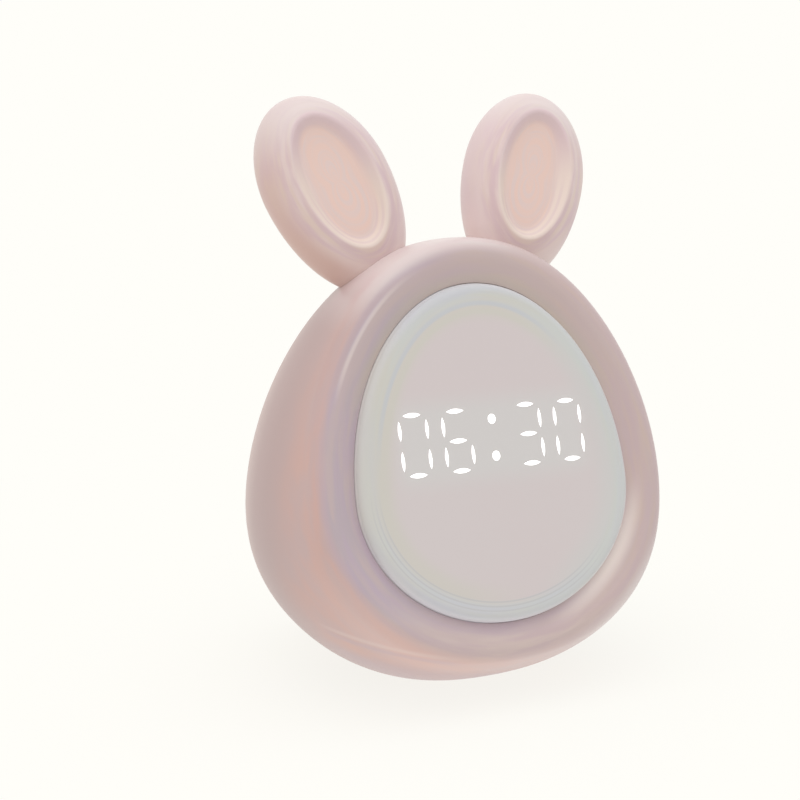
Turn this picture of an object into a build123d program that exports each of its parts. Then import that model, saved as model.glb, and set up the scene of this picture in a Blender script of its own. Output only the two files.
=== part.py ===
from build123d import *
from math import copysign, cos, pi, radians, sin, sqrt, tan
import os

# A bedside alarm clock for a child: an egg-shaped housing with two ears, a tilted
# display that doubles as a night light, and four push buttons on the back.
# Millimetres. +Z is up, the clock faces -Y, and the origin is the centre of its base.

# ---------------------------------------------------------------- driving dimensions

# Housing: an egg with a rounded-square plan, whose axis leans forwards
body_height = 93.5
body_half_width = 42.8
body_half_depth = 44.5
waist_height = 37.2
plan_power = 2.3
crown_rise_power = 1.74
crown_round_power = 2.13
belly_drop_power = 2.36
belly_round_power = 1.94
forward_lean = 0.12
belly_ring_turns = (90, 68, 46, 23)
crown_ring_turns = (0, 15, 30, 44, 57, 69, 79, 85)
base_radius = 16.5
wall = 2.2
rear_setback = 11.5
rear_edge_radius = 1.6
cover_depth = 17.5

# Front: a tilted dish that slopes from the crest down to the display window
face_tilt = 16.9
face_setback = 14.8
window_centre_rise = 8.1
window_side_margin = 12.7
window_top_margin = 6.0
window_base_margin = 18.2
window_overlap = 0.05
rim_width = 7.3
rim_drop = 3.0
rim_hollow = 0.35
crest_radius = 4.2

# Display panel
panel_inset = 0.5
panel_gap = 0.15
panel_skin = 2.4
panel_skirt = 2.0
panel_flange = 2.2
flange_thickness = 1.2
panel_crown_radius = 900.0
panel_edge_radius = 2.0

# Seven-segment strokes
digit_row_margin = 10.05
digit_space = 3.5
colon_space = 9.9
digit_half_height = 6.0
digit_rise = 10.2
stroke_width = 0.95
stroke_end_gap = 1.0
colon_half_height = 3.75
colon_dot_width = 1.7
colon_dot_height = 2.0
reflector_margin = 2.0
reflector_corner = 1.5
reflector_gap = 0.2
reflector_clearance = 0.4
well_clearance = 0.02
stroke_depth = 1.6

# Display stack behind the panel
light_box_depth = 4.8
light_box_wall = 1.2
light_box_margin = 2.0
lug_radius = 3.0
lug_thickness = 1.2
board_thickness = 1.6
diffuser_thickness = 1.5
display_screw_angle = 36.0
display_screw_reach = 4.6
led_length = 3.5
led_width = 2.8
led_height = 0.8
led_inset = 8.0

# Ears: two half ellipsoids end to end, with a shallow dish in the front
ear_root_side = 16.2
ear_root_back = 1.1
ear_stand = 18.7
ear_splay = 22.1
ear_sweep = 20.0
ear_turn = 2.9
ear_half_width = 14.0
ear_half_thickness = 9.15
ear_rise = 19.6
ear_fall = 24.5
ear_wall = 2.0
ear_root_solid = 4.7
dish_half_width = 8.2
dish_half_height = 15.0
dish_floor = 5.2
dish_rim = 7.0
dish_wall_width = 2.2
dish_floor_radius = 1.8
dish_shift = 0.4
dish_drop = 1.2
dish_edge_radius = 0.9
spigot_radius = 3.6
spigot_length = 4.8
ear_pad_radius = 6.2
ear_pad_thickness = 8.0
ear_pad_lip = 0.5
ear_screw_radius = 1.4
ear_screw_depth = 9.0
washer_margin = 0.4
washer_thickness = 0.8

# Buttons on the rear flat
button_radius = 3.2
button_spacing = 13.0
rear_centre_drop = 2.8
button_row_rise = 8.6
light_button_rise = 17.1
light_button_length = 16.0
light_button_width = 5.6
button_stand = 1.0
button_flange = 1.0
button_flange_thickness = 1.0
button_travel = 0.5
button_clearance = 0.25
stop_clearance = 0.3
button_edge_radius = 0.5

# Control board, switches and charging socket
board_gap = 5.8
board_margin = 20.3
board_height = 45.0
board_corner = 12.0
board_drop = 1.0
board_post_inset = 5.0
board_post_radius = 2.3
switch_width = 6.0
switch_height = 3.4
switch_corner = 0.6
switch_floor = 0.8
stem_radius = 1.6
stem_clearance = 0.08
stem_reserve = 0.1
chip_width = 7.0
chip_side = 12.0
chip_rise = 6.6
small_chip_width = 5.0
small_chip_drop = 9.4
chip_height = 1.2
capacitor_radius = 2.5
capacitor_height = 5.0
capacitor_drop = 11.4
socket_width = 8.9
socket_height = 3.2
socket_wall = 0.35
socket_drop = 20.3
socket_recess = 0.6
socket_clearance = 0.3
tongue_width = 6.6
tongue_thickness = 0.7

# Speaker
speaker_drop = 7.4
speaker_radius = 9.0
speaker_rim = 1.2
speaker_basket = 3.8
speaker_back = 4.4
speaker_sheet = 0.6
basket_opening = 3.7
surround_width = 1.2
cone_sheet = 0.4
cone_depth = 3.2
coil_radius = 2.5
cap_rise = 2.4
magnet_radius = 5.2
magnet_thickness = 2.8
speaker_rib = 1.2
speaker_rib_height = 2.0
grille_hole_radius = 0.8
grille_ring_step = 3.0

# Battery and its cradle
cell_radius = 7.1
cell_length = 50.0
cell_nose = 1.5
cell_nose_radius = 2.6
cell_edge_radius = 0.6
cradle_floor_height = 12.0
cradle_rise = 2.0
cradle_forward = 2.0
cradle_wall = 1.4
cradle_clearance = 0.3
contact_thickness = 0.5
contact_width = 9.0
cradle_tab_side = 14.0
cradle_tab_reach = 12.2
cradle_tab_radius = 3.2

# Wiring inside
ribbon_width = 10.0
ribbon_thickness = 0.4
ribbon_rise = 9.0
ribbon_end_rise = 15.6
ribbon_slack = 5.0
plug_length = 12.0
plug_width = 3.0
plug_height = 2.0
lead_radius = 0.6
lead_end_side = 8.0
lead_end_drop = 16.4
lead_bow = 3.0
lead_turn_side = 15.0
lead_turn_back = 8.0

# Fasteners and bosses
cover_screw_low_height = 20.0
cover_screw_high_height = 62.0
cover_screw_margin = 5.6
cover_boss_radius = 3.2
cover_boss_length = 10.0
cover_well_floor = 3.0
cover_screw_radius = 1.2
cover_head_radius = 2.2
small_screw_radius = 0.9
small_head_radius = 1.7
small_head_height = 1.2
small_screw_bite = 3.5
small_boss_radius = 2.2
head_height = 1.6
blind_end = 1.0
thread_clearance = 0.05
hole_clearance = 0.2

# Base pad and the housing's tongue
pad_radius = 13.5
pad_thickness = 1.2
pad_stand = 0.4
tongue_overlap = 2.0
tongue_wall = 1.0
tongue_gap = 0.15
tongue_root = 2.5

# ---------------------------------------------------------------- derived values

crown_rise = body_height - waist_height
base_share = base_radius / body_half_width
belly_fill = (1 - base_share**belly_round_power) ** (1 / belly_drop_power)
belly_drop = (waist_height - pad_stand) / belly_fill

rear_reach = body_half_depth - rear_setback
parting_reach = rear_reach - cover_depth
face_reach = body_half_depth - face_setback
face_height = waist_height + window_centre_rise
window_half_width = body_half_width - window_side_margin
window_rise = body_height - face_height - window_top_margin
window_fall = face_height - window_base_margin

rear_centre_height = waist_height - rear_centre_drop
button_row_height = rear_centre_height + button_row_rise
light_button_height = rear_centre_height + light_button_rise
speaker_height = rear_centre_height - speaker_drop
socket_height_above_base = rear_centre_height - socket_drop
board_centre_height = rear_centre_height - board_drop
board_width = 2 * (body_half_width - board_margin)

digit_row_length = 2 * (window_half_width - digit_row_margin)
digit_half_width = (digit_row_length - colon_space - 2 * digit_space) / 8
digit_pitch = 2 * digit_half_width + digit_space
digit_middle_gap = 2 * digit_half_width + colon_space
across_length = 2 * (digit_half_width - stroke_end_gap)
upright_length = digit_half_height - 2 * stroke_end_gap

rear_plane = Plane(origin=(0, rear_reach, 0), x_dir=(-1, 0, 0), z_dir=(0, 1, 0))
rear_inner = rear_plane.offset(-wall)
parting_plane = Plane(origin=(0, parting_reach, 0), x_dir=(-1, 0, 0), z_dir=(0, 1, 0))
tilt = radians(face_tilt)
face_plane = Plane(
    origin=(0, -face_reach, face_height),
    x_dir=(1, 0, 0),
    z_dir=(0, -cos(tilt), sin(tilt)),
)

recess_floor = face_plane.offset(-rim_drop)
shell_floor_depth = rim_drop + wall
flange_back_depth = shell_floor_depth + flange_thickness
panel_back_depth = panel_inset + panel_skin
stack_back_depth = flange_back_depth + light_box_depth
lug_front_depth = stack_back_depth - lug_thickness
board_back_depth = stack_back_depth + board_thickness

button_back = stop_clearance + button_flange_thickness
board_rear = rear_inner.offset(-board_gap)
board_front = board_rear.offset(-board_thickness)

cradle_tab_points = [
    (side * cradle_tab_side, -side * cradle_tab_reach - cradle_forward) for side in (-1, 1)
]
board_screw_points = [
    (
        side * (board_width / 2 - board_post_inset),
        board_centre_height + end * (board_height / 2 - board_post_inset),
    )
    for side in (-1, 1)
    for end in (-1, 1)
]

LIT_STROKES = {"0": "abcdef", "3": "abcdg", "6": "acdefg"}
SHOWN_TIME = "0630"

os.makedirs("parts", exist_ok=True)


def write(piece, name):
    """Label a finished piece and write it."""
    piece.part.label = name
    export_step(piece.part, f"parts/{name}.step")


# ---------------------------------------------------------------- shared forms


def egg_share(z, inset):
    """Width of the egg at height z, as a share of its width at the waist."""
    if z > waist_height:
        rise = (z - waist_height) / (crown_rise - inset)
        return max(1 - rise**crown_rise_power, 0) ** (1 / crown_round_power)
    drop = (waist_height - z) / (belly_drop - inset)
    return max(1 - drop**belly_drop_power, 0) ** (1 / belly_round_power)


def egg_side(y, z):
    """Half-width of the housing where it passes the point (y, z)."""
    share = max(egg_share(z, 0), 1e-6)
    reach = abs(y + forward_lean * z) / (body_half_depth * share)
    return body_half_width * share * max(1 - reach**plan_power, 0) ** (1 / plan_power)


def egg_ring(z, inset):
    """Points of the egg's rounded-square plan at height z, from the back."""
    share = egg_share(z, inset)
    power = 2 / plan_power
    points = []
    for step in range(16):
        turn = pi / 2 + step * pi / 8
        x = copysign(abs(cos(turn)) ** power, cos(turn))
        y = copysign(abs(sin(turn)) ** power, sin(turn))
        points.append(((body_half_width - inset) * share * x, (body_half_depth - inset) * share * y))
    return points


def egg_body(inset):
    """The whole egg, moved in by an even inset."""
    base = pad_stand + inset
    top = body_height - inset
    belly = waist_height - base
    crown = top - waist_height
    heights = [waist_height - belly * sin(radians(turn)) for turn in belly_ring_turns]
    heights += [waist_height + crown * sin(radians(turn)) for turn in crown_ring_turns]
    rings = []
    with BuildPart() as egg:
        for z in heights:
            with BuildSketch(Plane((0, -forward_lean * z, z))) as ring:
                with BuildLine():
                    Spline(*egg_ring(z, inset), periodic=True)
                make_face()
            rings.append(ring.sketch)
        loft(sections=[*rings, Vertex(0, -forward_lean * top, top)])
    return egg.part


def window_sketch(plane, grow):
    """The window's outline, two half ellipses, grown evenly."""
    with BuildSketch(plane) as outline:
        with BuildLine():
            EllipticalCenterArc(
                (0, 0), window_half_width + grow, window_rise + grow, start_angle=0, arc_size=180
            )
            EllipticalCenterArc(
                (0, 0), window_half_width + grow, window_fall + grow, start_angle=180, arc_size=180
            )
        make_face()
    return outline.sketch


def window_point(angle, grow):
    """A point beside the window's outline, a set distance out along its normal."""
    across = cos(radians(angle))
    along = sin(radians(angle))
    reach = window_rise if along > 0 else window_fall
    out = Vector(across / window_half_width, along / reach).normalized() * grow
    return (window_half_width * across + out.X, reach * along + out.Y)


def ellipsoid(half_width, half_thickness, rise, fall):
    """Two half ellipsoids joined at their widest, standing on +Z."""
    with BuildPart() as form:
        with BuildSketch(Plane.XZ):
            with BuildLine():
                EllipticalCenterArc((0, 0), half_width, rise, start_angle=0, arc_size=90)
                EllipticalCenterArc((0, 0), half_width, fall, start_angle=270, arc_size=90)
                Line((0, rise), (0, -fall))
            make_face()
        revolve(axis=Axis.Z)
        scale(by=(1, half_thickness / half_width, 1))
    return form.part


def screw(plane, shank_radius, shank_length, head_radius, head_height):
    """A pan-head screw whose head sits on the plane and whose shank runs behind it."""
    with BuildPart() as fastener:
        with BuildSketch(plane):
            Circle(head_radius)
        extrude(amount=head_height)
        with BuildSketch(plane):
            Circle(shank_radius)
        extrude(amount=-shank_length)
        with BuildSketch(plane.offset(head_height)):
            Rectangle(head_radius * 1.2, head_radius * 0.3)
            Rectangle(head_radius * 0.3, head_radius * 1.2)
        extrude(amount=-head_height / 2, mode=Mode.SUBTRACT)
    return fastener.part


# ---------------------------------------------------------------- places on the housing

cover_screw_points = [
    (side * (egg_side(parting_reach, z) - cover_screw_margin), z)
    for z in (cover_screw_low_height, cover_screw_high_height)
    for side in (-1, 1)
]

display_screw_spots = [
    window_point(half_turn + side * display_screw_angle, display_screw_reach)
    for half_turn in (0, 180)
    for side in (-1, 1)
]

# Each ear's axis leaves the housing where its crown is ear_root_side wide
low = waist_height
high = body_height
for _ in range(40):
    ear_root_height = (low + high) / 2
    if egg_side(ear_root_back, ear_root_height) > ear_root_side:
        low = ear_root_height
    else:
        high = ear_root_height

splay = radians(ear_splay)
ear_axis = Vector(tan(splay), tan(radians(ear_sweep)) / cos(splay), 1).normalized()
ear_centre = Vector(ear_root_side, ear_root_back, ear_root_height) + ear_axis * ear_stand
ear_plane = Plane(
    origin=ear_centre,
    x_dir=(cos(radians(ear_turn)), sin(radians(ear_turn)), 0),
    z_dir=ear_axis,
)
spigot_end = ear_stand + spigot_length
ear_root = ear_stand - ear_root_solid

# ---------------------------------------------------------------- housing

outer_egg = egg_body(0)
inner_egg = egg_body(wall)

# The dish: its slope runs on past the crest, so that it cuts the whole front away
slope = rim_drop / rim_width
dish_top = 2 * rim_width
with BuildPart() as front_cut:
    loft(
        sections=[
            window_sketch(recess_floor, window_overlap),
            window_sketch(recess_floor.offset(slope * rim_width / 2 - rim_hollow), rim_width / 2),
            window_sketch(recess_floor.offset(slope * dish_top), dish_top),
        ]
    )
    with BuildSketch(recess_floor.offset(slope * dish_top)):
        Rectangle(3 * body_half_width, 3 * body_half_width)
    extrude(amount=body_half_depth)



def ear_placed(part, side):
    """Put a form made about the ear's own axes at the right or left ear."""
    placed = part.moved(ear_plane.location)
    return placed if side > 0 else placed.mirror(Plane.YZ)


with BuildPart() as ear_pads:
    with BuildSketch(Plane.XY.offset(-spigot_end - ear_pad_lip)):
        Circle(ear_pad_radius)
    extrude(amount=ear_pad_thickness)

with BuildPart() as ear_holes:
    with BuildSketch(Plane.XY.offset(-spigot_end - ear_pad_thickness)):
        Circle(spigot_radius + hole_clearance / 2)
    extrude(amount=2.5 * ear_pad_thickness)

# The hollow inside. The ear pads, the bosses and the screw wells are left out of it
with BuildPart() as cavity:
    add(inner_egg)
    split(bisect_by=rear_inner, keep=Keep.BOTTOM)
    split(bisect_by=face_plane.offset(-shell_floor_depth), keep=Keep.BOTTOM)
    for side in (-1, 1):
        add(ear_placed(ear_pads.part, side), mode=Mode.SUBTRACT)
    with BuildSketch(parting_plane.offset(-cover_boss_length)):
        with Locations(*cover_screw_points):
            Circle(cover_boss_radius)
    extrude(amount=cover_boss_length + body_half_depth, mode=Mode.SUBTRACT)
    with BuildSketch(face_plane.offset(-lug_front_depth)):
        with Locations(*display_screw_spots):
            Circle(small_boss_radius)
    extrude(amount=lug_front_depth, mode=Mode.SUBTRACT)
    with BuildSketch(Plane.XY.offset(cradle_floor_height)):
        with Locations(*cradle_tab_points):
            Circle(small_boss_radius)
    extrude(amount=-cradle_floor_height, mode=Mode.SUBTRACT)

with BuildPart() as housing:
    add(outer_egg)
    split(bisect_by=rear_plane, keep=Keep.BOTTOM)
    fillet(faces().filter_by(Plane.XZ).sort_by(Axis.Y)[-1].edges(), rear_edge_radius)
    add(front_cut.part, mode=Mode.SUBTRACT)
    crest = edges().filter_by(
        lambda e: abs(face_plane.to_local_coords(e @ 0.5).Z) < rim_drop / 2 and e.length > rim_width * 3
    )
    fillet(crest, crest_radius)


with BuildPart() as main_shell:
    add(housing.part)
    with BuildSketch(parting_plane):
        Rectangle(3 * body_half_width, 3 * body_height)
    extrude(amount=body_half_depth, mode=Mode.SUBTRACT)
    add(cavity.part, mode=Mode.SUBTRACT)
    extrude(window_sketch(face_plane, 0), amount=-2 * shell_floor_depth, mode=Mode.SUBTRACT)
    for side in (-1, 1):
        add(ear_placed(ear_holes.part, side), mode=Mode.SUBTRACT)
    # Screw holes for the rear cover, the display stack and the battery cradle
    with BuildSketch(parting_plane):
        with Locations(*cover_screw_points):
            Circle(cover_screw_radius + thread_clearance)
    extrude(amount=-cover_boss_length + blind_end, mode=Mode.SUBTRACT)
    with BuildSketch(face_plane.offset(-lug_front_depth)):
        with Locations(*display_screw_spots):
            Circle(small_screw_radius + thread_clearance)
    extrude(amount=lug_front_depth - shell_floor_depth + wall / 4, mode=Mode.SUBTRACT)
    with BuildSketch(Plane.XY.offset(cradle_floor_height)):
        with Locations(*cradle_tab_points):
            Circle(small_screw_radius + thread_clearance)
    extrude(amount=-(cradle_floor_height - pad_stand - wall), mode=Mode.SUBTRACT)
    # Shallow seat for the base pad
    with BuildSketch(Plane.XY):
        Circle(pad_radius + panel_gap)
    extrude(amount=pad_thickness, mode=Mode.SUBTRACT)
write(main_shell, "main_shell")

with BuildPart() as tongue_stock:
    add(egg_body(wall * 0.75))
    split(bisect_by=parting_plane, keep=Keep.TOP)
    split(bisect_by=parting_plane.offset(tongue_root), keep=Keep.BOTTOM)

with BuildPart() as cover_tongue:
    add(egg_body(wall + tongue_gap))
    split(bisect_by=parting_plane, keep=Keep.BOTTOM)
    split(bisect_by=parting_plane.offset(-tongue_overlap), keep=Keep.TOP)
    with BuildSketch(parting_plane):
        with Locations(*cover_screw_points):
            Circle(cover_boss_radius + stop_clearance)
    extrude(amount=-tongue_overlap, mode=Mode.SUBTRACT)
    add(tongue_stock.part)
    add(egg_body(wall + tongue_gap + tongue_wall), mode=Mode.SUBTRACT)

button_spots = [(step * button_spacing, button_row_height) for step in (-1, 0, 1)]

with BuildPart() as rear_cover:
    add(housing.part)
    with BuildSketch(parting_plane):
        Rectangle(3 * body_half_width, 3 * body_height)
    extrude(amount=-2 * body_half_depth, mode=Mode.SUBTRACT)
    add(cavity.part, mode=Mode.SUBTRACT)
    add(cover_tongue.part)
    # Screw wells
    with BuildSketch(parting_plane.offset(cover_well_floor)):
        with Locations(*cover_screw_points):
            Circle(cover_head_radius + hole_clearance)
    extrude(amount=body_half_depth, mode=Mode.SUBTRACT)
    with BuildSketch(parting_plane):
        with Locations(*cover_screw_points):
            Circle(cover_screw_radius + hole_clearance)
    extrude(amount=cover_well_floor, mode=Mode.SUBTRACT)
    # Posts for the control board
    with BuildSketch(board_rear):
        with Locations(*board_screw_points):
            Circle(board_post_radius)
    extrude(amount=board_gap + wall / 4)
    with BuildSketch(board_rear):
        with Locations(*board_screw_points):
            Circle(small_screw_radius + thread_clearance)
    extrude(amount=board_gap - blind_end, mode=Mode.SUBTRACT)
    # Ring that holds the speaker
    with BuildSketch(rear_inner):
        with Locations((0, speaker_height)):
            Circle(speaker_radius + hole_clearance / 2 + speaker_rib)
            Circle(speaker_radius + hole_clearance / 2, mode=Mode.SUBTRACT)
    extrude(amount=-speaker_rib_height)
    # Button holes, charging socket hole and speaker grille
    with BuildSketch(rear_plane):
        with Locations(*button_spots):
            Circle(button_radius + button_clearance)
        with Locations((0, light_button_height)):
            SlotOverall(light_button_length + 2 * button_clearance, light_button_width + 2 * button_clearance)
        with Locations((0, socket_height_above_base)):
            SlotOverall(socket_width + 2 * socket_clearance, socket_height + 2 * socket_clearance)
        with Locations((0, speaker_height)):
            Circle(grille_hole_radius)
            with PolarLocations(grille_ring_step, 6):
                Circle(grille_hole_radius)
            with PolarLocations(2 * grille_ring_step, 12):
                Circle(grille_hole_radius)
    extrude(amount=-wall - hole_clearance, mode=Mode.SUBTRACT)
write(rear_cover, "rear_cover")

with BuildPart() as base_pad:
    with BuildSketch(Plane.XY):
        Circle(pad_radius)
    extrude(amount=pad_thickness)
    chamfer(faces().sort_by(Axis.Z)[0].edges(), pad_stand / 2)
write(base_pad, "base_pad")

# ---------------------------------------------------------------- ears


def dish_form(grow):
    """The scoop that makes the dish: a level floor, and walls that slope out past the rim."""
    slope = dish_wall_width / (dish_rim - dish_floor)
    spread = grow * sqrt(1 + slope**2)
    sections = []
    for depth in (dish_floor - grow, 2 * dish_rim):
        out = slope * (depth - dish_rim) + spread
        with BuildSketch(Plane.XZ.offset(depth)) as section:
            with Locations((-dish_shift, -dish_drop)):
                Ellipse(dish_half_width + out, dish_half_height + out)
        sections.append(section.sketch)
    with BuildPart() as scoop:
        loft(sections=sections)
        fillet(faces().sort_by(Axis.Y)[-1].edges(), dish_floor_radius)
    return scoop.part


with BuildPart() as ear_hollow:
    add(
        ellipsoid(
            ear_half_width - ear_wall,
            ear_half_thickness - ear_wall,
            ear_rise - ear_wall,
            ear_fall - ear_wall,
        )
    )
    split(bisect_by=Plane.XY.offset(-ear_root), keep=Keep.TOP)
    add(dish_form(ear_wall), mode=Mode.SUBTRACT)

with BuildPart() as ear_form:
    add(ellipsoid(ear_half_width, ear_half_thickness, ear_rise, ear_fall))
    add(dish_form(0), mode=Mode.SUBTRACT)
    rim_edges = edges().filter_by(
        lambda e: e.center().Y < -(dish_floor + dish_rim) / 2 and e.length > dish_half_width
    )
    fillet(rim_edges, dish_edge_radius)
    add(ear_hollow.part, mode=Mode.SUBTRACT)

with BuildPart() as ear_spigot:
    with BuildSketch(Plane.XY.offset(-spigot_end)):
        Circle(spigot_radius)
    extrude(amount=spigot_length + ear_root_solid / 2)

with BuildPart() as ear_screw_hole:
    with BuildSketch(Plane.XY.offset(-spigot_end)):
        Circle(ear_screw_radius + thread_clearance)
    extrude(amount=ear_screw_depth)

for side, ear_name in ((-1, "ear_left"), (1, "ear_right")):
    with BuildPart() as ear:
        add(ear_placed(ear_form.part, side))
        add(outer_egg, mode=Mode.SUBTRACT)
        add(ear_placed(ear_spigot.part, side))
        add(ear_placed(ear_screw_hole.part, side), mode=Mode.SUBTRACT)
    write(ear, ear_name)

with BuildPart() as ear_fastener:
    with BuildSketch(Plane.XY.offset(-spigot_end - ear_pad_lip)):
        Circle(ear_pad_radius - washer_margin)
    extrude(amount=-washer_thickness)
    seat = Plane(origin=(0, 0, -spigot_end - ear_pad_lip - washer_thickness), z_dir=(0, 0, -1))
    add(screw(seat, ear_screw_radius, ear_screw_depth, 2 * ear_screw_radius, head_height))
with BuildPart() as ear_screws:
    add(ear_placed(ear_fastener.part, 1))
    add(ear_placed(ear_fastener.part, -1))
write(ear_screws, "ear_screws")

# ---------------------------------------------------------------- display stack

with BuildPart() as display_lens:
    extrude(window_sketch(face_plane.offset(-flange_back_depth), -panel_gap), amount=flange_back_depth)
    with Locations(face_plane.offset(-panel_inset - panel_crown_radius).location):
        Sphere(panel_crown_radius, rotation=(90, 0, 0), mode=Mode.INTERSECT)
    front_edges = edges().filter_by(lambda e: face_plane.to_local_coords(e @ 0.5).Z > -rim_drop)
    fillet(front_edges, panel_edge_radius)
    extrude(window_sketch(face_plane.offset(-flange_back_depth), panel_flange), amount=flange_thickness)
    hollow = window_sketch(face_plane.offset(-flange_back_depth), -panel_gap - panel_skirt)
    extrude(hollow, amount=flange_back_depth - panel_back_depth, mode=Mode.SUBTRACT)
write(display_lens, "display_lens")

reflector_length = digit_row_length + 2 * reflector_margin
reflector_height = 2 * digit_half_height + stroke_width + 2 * reflector_margin
reflector_front = panel_back_depth + reflector_gap

with BuildPart() as diffuser:
    plate = window_sketch(face_plane.offset(-panel_back_depth), -panel_gap - panel_skirt - reflector_gap)
    extrude(plate, amount=-diffuser_thickness)
    with BuildSketch(face_plane.offset(-panel_back_depth)):
        with Locations((0, digit_rise)):
            Rectangle(reflector_length + 2 * reflector_clearance, reflector_height + 2 * reflector_clearance)
    extrude(amount=-diffuser_thickness, mode=Mode.SUBTRACT)
write(diffuser, "diffuser")


def stroke_spots(digit_centre):
    """Place and turn of each stroke of one digit, by its usual letter."""
    half = digit_half_height / 2
    return {
        "a": (digit_centre, digit_half_height, 0),
        "b": (digit_centre + digit_half_width, half, 90),
        "c": (digit_centre + digit_half_width, -half, 90),
        "d": (digit_centre, -digit_half_height, 0),
        "e": (digit_centre - digit_half_width, -half, 90),
        "f": (digit_centre - digit_half_width, half, 90),
        "g": (digit_centre, 0, 0),
    }


inner_digit = digit_middle_gap / 2
digit_centres = (-inner_digit - digit_pitch, -inner_digit, inner_digit, inner_digit + digit_pitch)
lit_spots = []
dark_spots = []
for centre, figure in zip(digit_centres, SHOWN_TIME):
    for letter, spot in stroke_spots(centre).items():
        if letter in LIT_STROKES[figure]:
            lit_spots.append(spot)
        else:
            dark_spots.append(spot)


def stroke_sketch(plane, spots, grow):
    """Almond-shaped strokes, each between two arcs."""
    across = almond(across_length / 2 + grow, stroke_width / 2 + grow)
    upright = almond(upright_length / 2 + grow, stroke_width / 2 + grow)
    with BuildSketch(plane) as strokes:
        for x, y, turn in spots:
            with Locations(Location((x, y + digit_rise, 0), (0, 0, turn))):
                add(upright if turn else across)
    return strokes.sketch


def almond(half_length, half_width):
    """One pointed oval, lying along X."""
    with BuildSketch(mode=Mode.PRIVATE) as oval:
        with BuildLine():
            ThreePointArc((-half_length, 0), (0, half_width), (half_length, 0))
            ThreePointArc((half_length, 0), (0, -half_width), (-half_length, 0))
        make_face()
    return oval.sketch


def colon_sketch(plane, grow):
    """The two oval dots between the hours and the minutes."""
    with BuildSketch(plane) as dots:
        with Locations((0, digit_rise + colon_half_height), (0, digit_rise - colon_half_height)):
            Ellipse(colon_dot_width / 2 + grow, colon_dot_height / 2 + grow)
    return dots.sketch


stroke_plane = face_plane.offset(-reflector_front)
with BuildPart() as digit_reflector:
    with BuildSketch(stroke_plane):
        with Locations((0, digit_rise)):
            RectangleRounded(reflector_length, reflector_height, reflector_corner)
    extrude(amount=reflector_front - stack_back_depth)
    wells = stroke_sketch(stroke_plane, lit_spots + dark_spots, well_clearance)
    wells += colon_sketch(stroke_plane, well_clearance)
    extrude(wells, amount=reflector_front - stack_back_depth, mode=Mode.SUBTRACT)
write(digit_reflector, "digit_reflector")

with BuildPart() as digit_segments:
    extrude(stroke_sketch(stroke_plane, lit_spots, 0), amount=-stroke_depth)
    extrude(colon_sketch(stroke_plane, 0), amount=-stroke_depth)
write(digit_segments, "digit_segments")

with BuildPart() as digit_segments_off:
    extrude(stroke_sketch(stroke_plane, dark_spots, 0), amount=-stroke_depth)
write(digit_segments_off, "digit_segments_off")

with BuildPart() as light_box:
    extrude(window_sketch(face_plane.offset(-flange_back_depth), light_box_margin), amount=-light_box_depth)
    with BuildSketch(face_plane.offset(-lug_front_depth)):
        with Locations(*display_screw_spots):
            Circle(lug_radius)
    extrude(amount=-lug_thickness)
    hollow = window_sketch(face_plane.offset(-flange_back_depth), light_box_margin - light_box_wall)
    extrude(hollow, amount=-light_box_depth, mode=Mode.SUBTRACT)
    with BuildSketch(face_plane.offset(-lug_front_depth)):
        with Locations(*display_screw_spots):
            Circle(small_screw_radius + hole_clearance)
    extrude(amount=-lug_thickness, mode=Mode.SUBTRACT)
write(light_box, "light_box")

with BuildPart() as display_board:
    extrude(window_sketch(face_plane.offset(-stack_back_depth), light_box_margin), amount=-board_thickness)
    with BuildSketch(face_plane.offset(-stack_back_depth)):
        with Locations(*display_screw_spots):
            Circle(lug_radius)
    extrude(amount=-board_thickness)
    with BuildSketch(face_plane.offset(-stack_back_depth)):
        with Locations(*display_screw_spots):
            Circle(small_screw_radius + hole_clearance)
    extrude(amount=-board_thickness, mode=Mode.SUBTRACT)
write(display_board, "display_board")

with BuildPart() as night_leds:
    with BuildSketch(face_plane.offset(-stack_back_depth)):
        for angle in (60, 90, 120, 200, 240, 270, 300, 340):
            with Locations(window_point(angle, -led_inset)):
                Rectangle(led_length, led_width)
    extrude(amount=led_height)
write(night_leds, "night_leds")

with BuildPart() as display_screws:
    for spot in display_screw_spots:
        origin = face_plane.offset(-board_back_depth).from_local_coords(Vector(spot[0], spot[1], 0))
        seat = Plane(origin=origin, x_dir=(1, 0, 0), z_dir=-face_plane.z_dir)
        length = board_thickness + lug_thickness + small_screw_bite
        add(screw(seat, small_screw_radius, length, small_head_radius, small_head_height))
write(display_screws, "display_screws")

# ---------------------------------------------------------------- buttons and switches

cap_length = wall + stop_clearance + button_stand
cap_base = rear_inner.offset(-stop_clearance)


def button_cap(outline, flange):
    """A cap that stands out of the rear flat, with the flange that keeps it in."""
    with BuildPart() as cap:
        with BuildSketch(cap_base):
            add(outline)
        extrude(amount=cap_length)
        fillet(cap.faces().sort_by(Axis.Y)[-1].edges(), button_edge_radius)
        with BuildSketch(cap_base):
            add(flange)
        extrude(amount=-button_flange_thickness)
    return cap


round_buttons = zip(("button_down", "button_mode", "button_up"), button_spots)
for button_name, spot in round_buttons:
    with BuildSketch() as outline:
        with Locations(spot):
            Circle(button_radius)
    with BuildSketch() as flange:
        with Locations(spot):
            Circle(button_radius + button_flange)
    write(button_cap(outline.sketch, flange.sketch), button_name)

with BuildSketch() as light_outline:
    with Locations((0, light_button_height)):
        SlotOverall(light_button_length, light_button_width)
with BuildSketch() as light_flange:
    with Locations((0, light_button_height)):
        SlotOverall(light_button_length + 2 * button_flange, light_button_width + 2 * button_flange)
write(button_cap(light_outline.sketch, light_flange.sketch), "button_light")

switch_spots = [*button_spots, (0, light_button_height)]
stem_names = ("switch_stem_down", "switch_stem_mode", "switch_stem_up", "switch_stem_light")
stem_room = button_travel + stem_reserve
stem_top = board_gap - button_back

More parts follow.
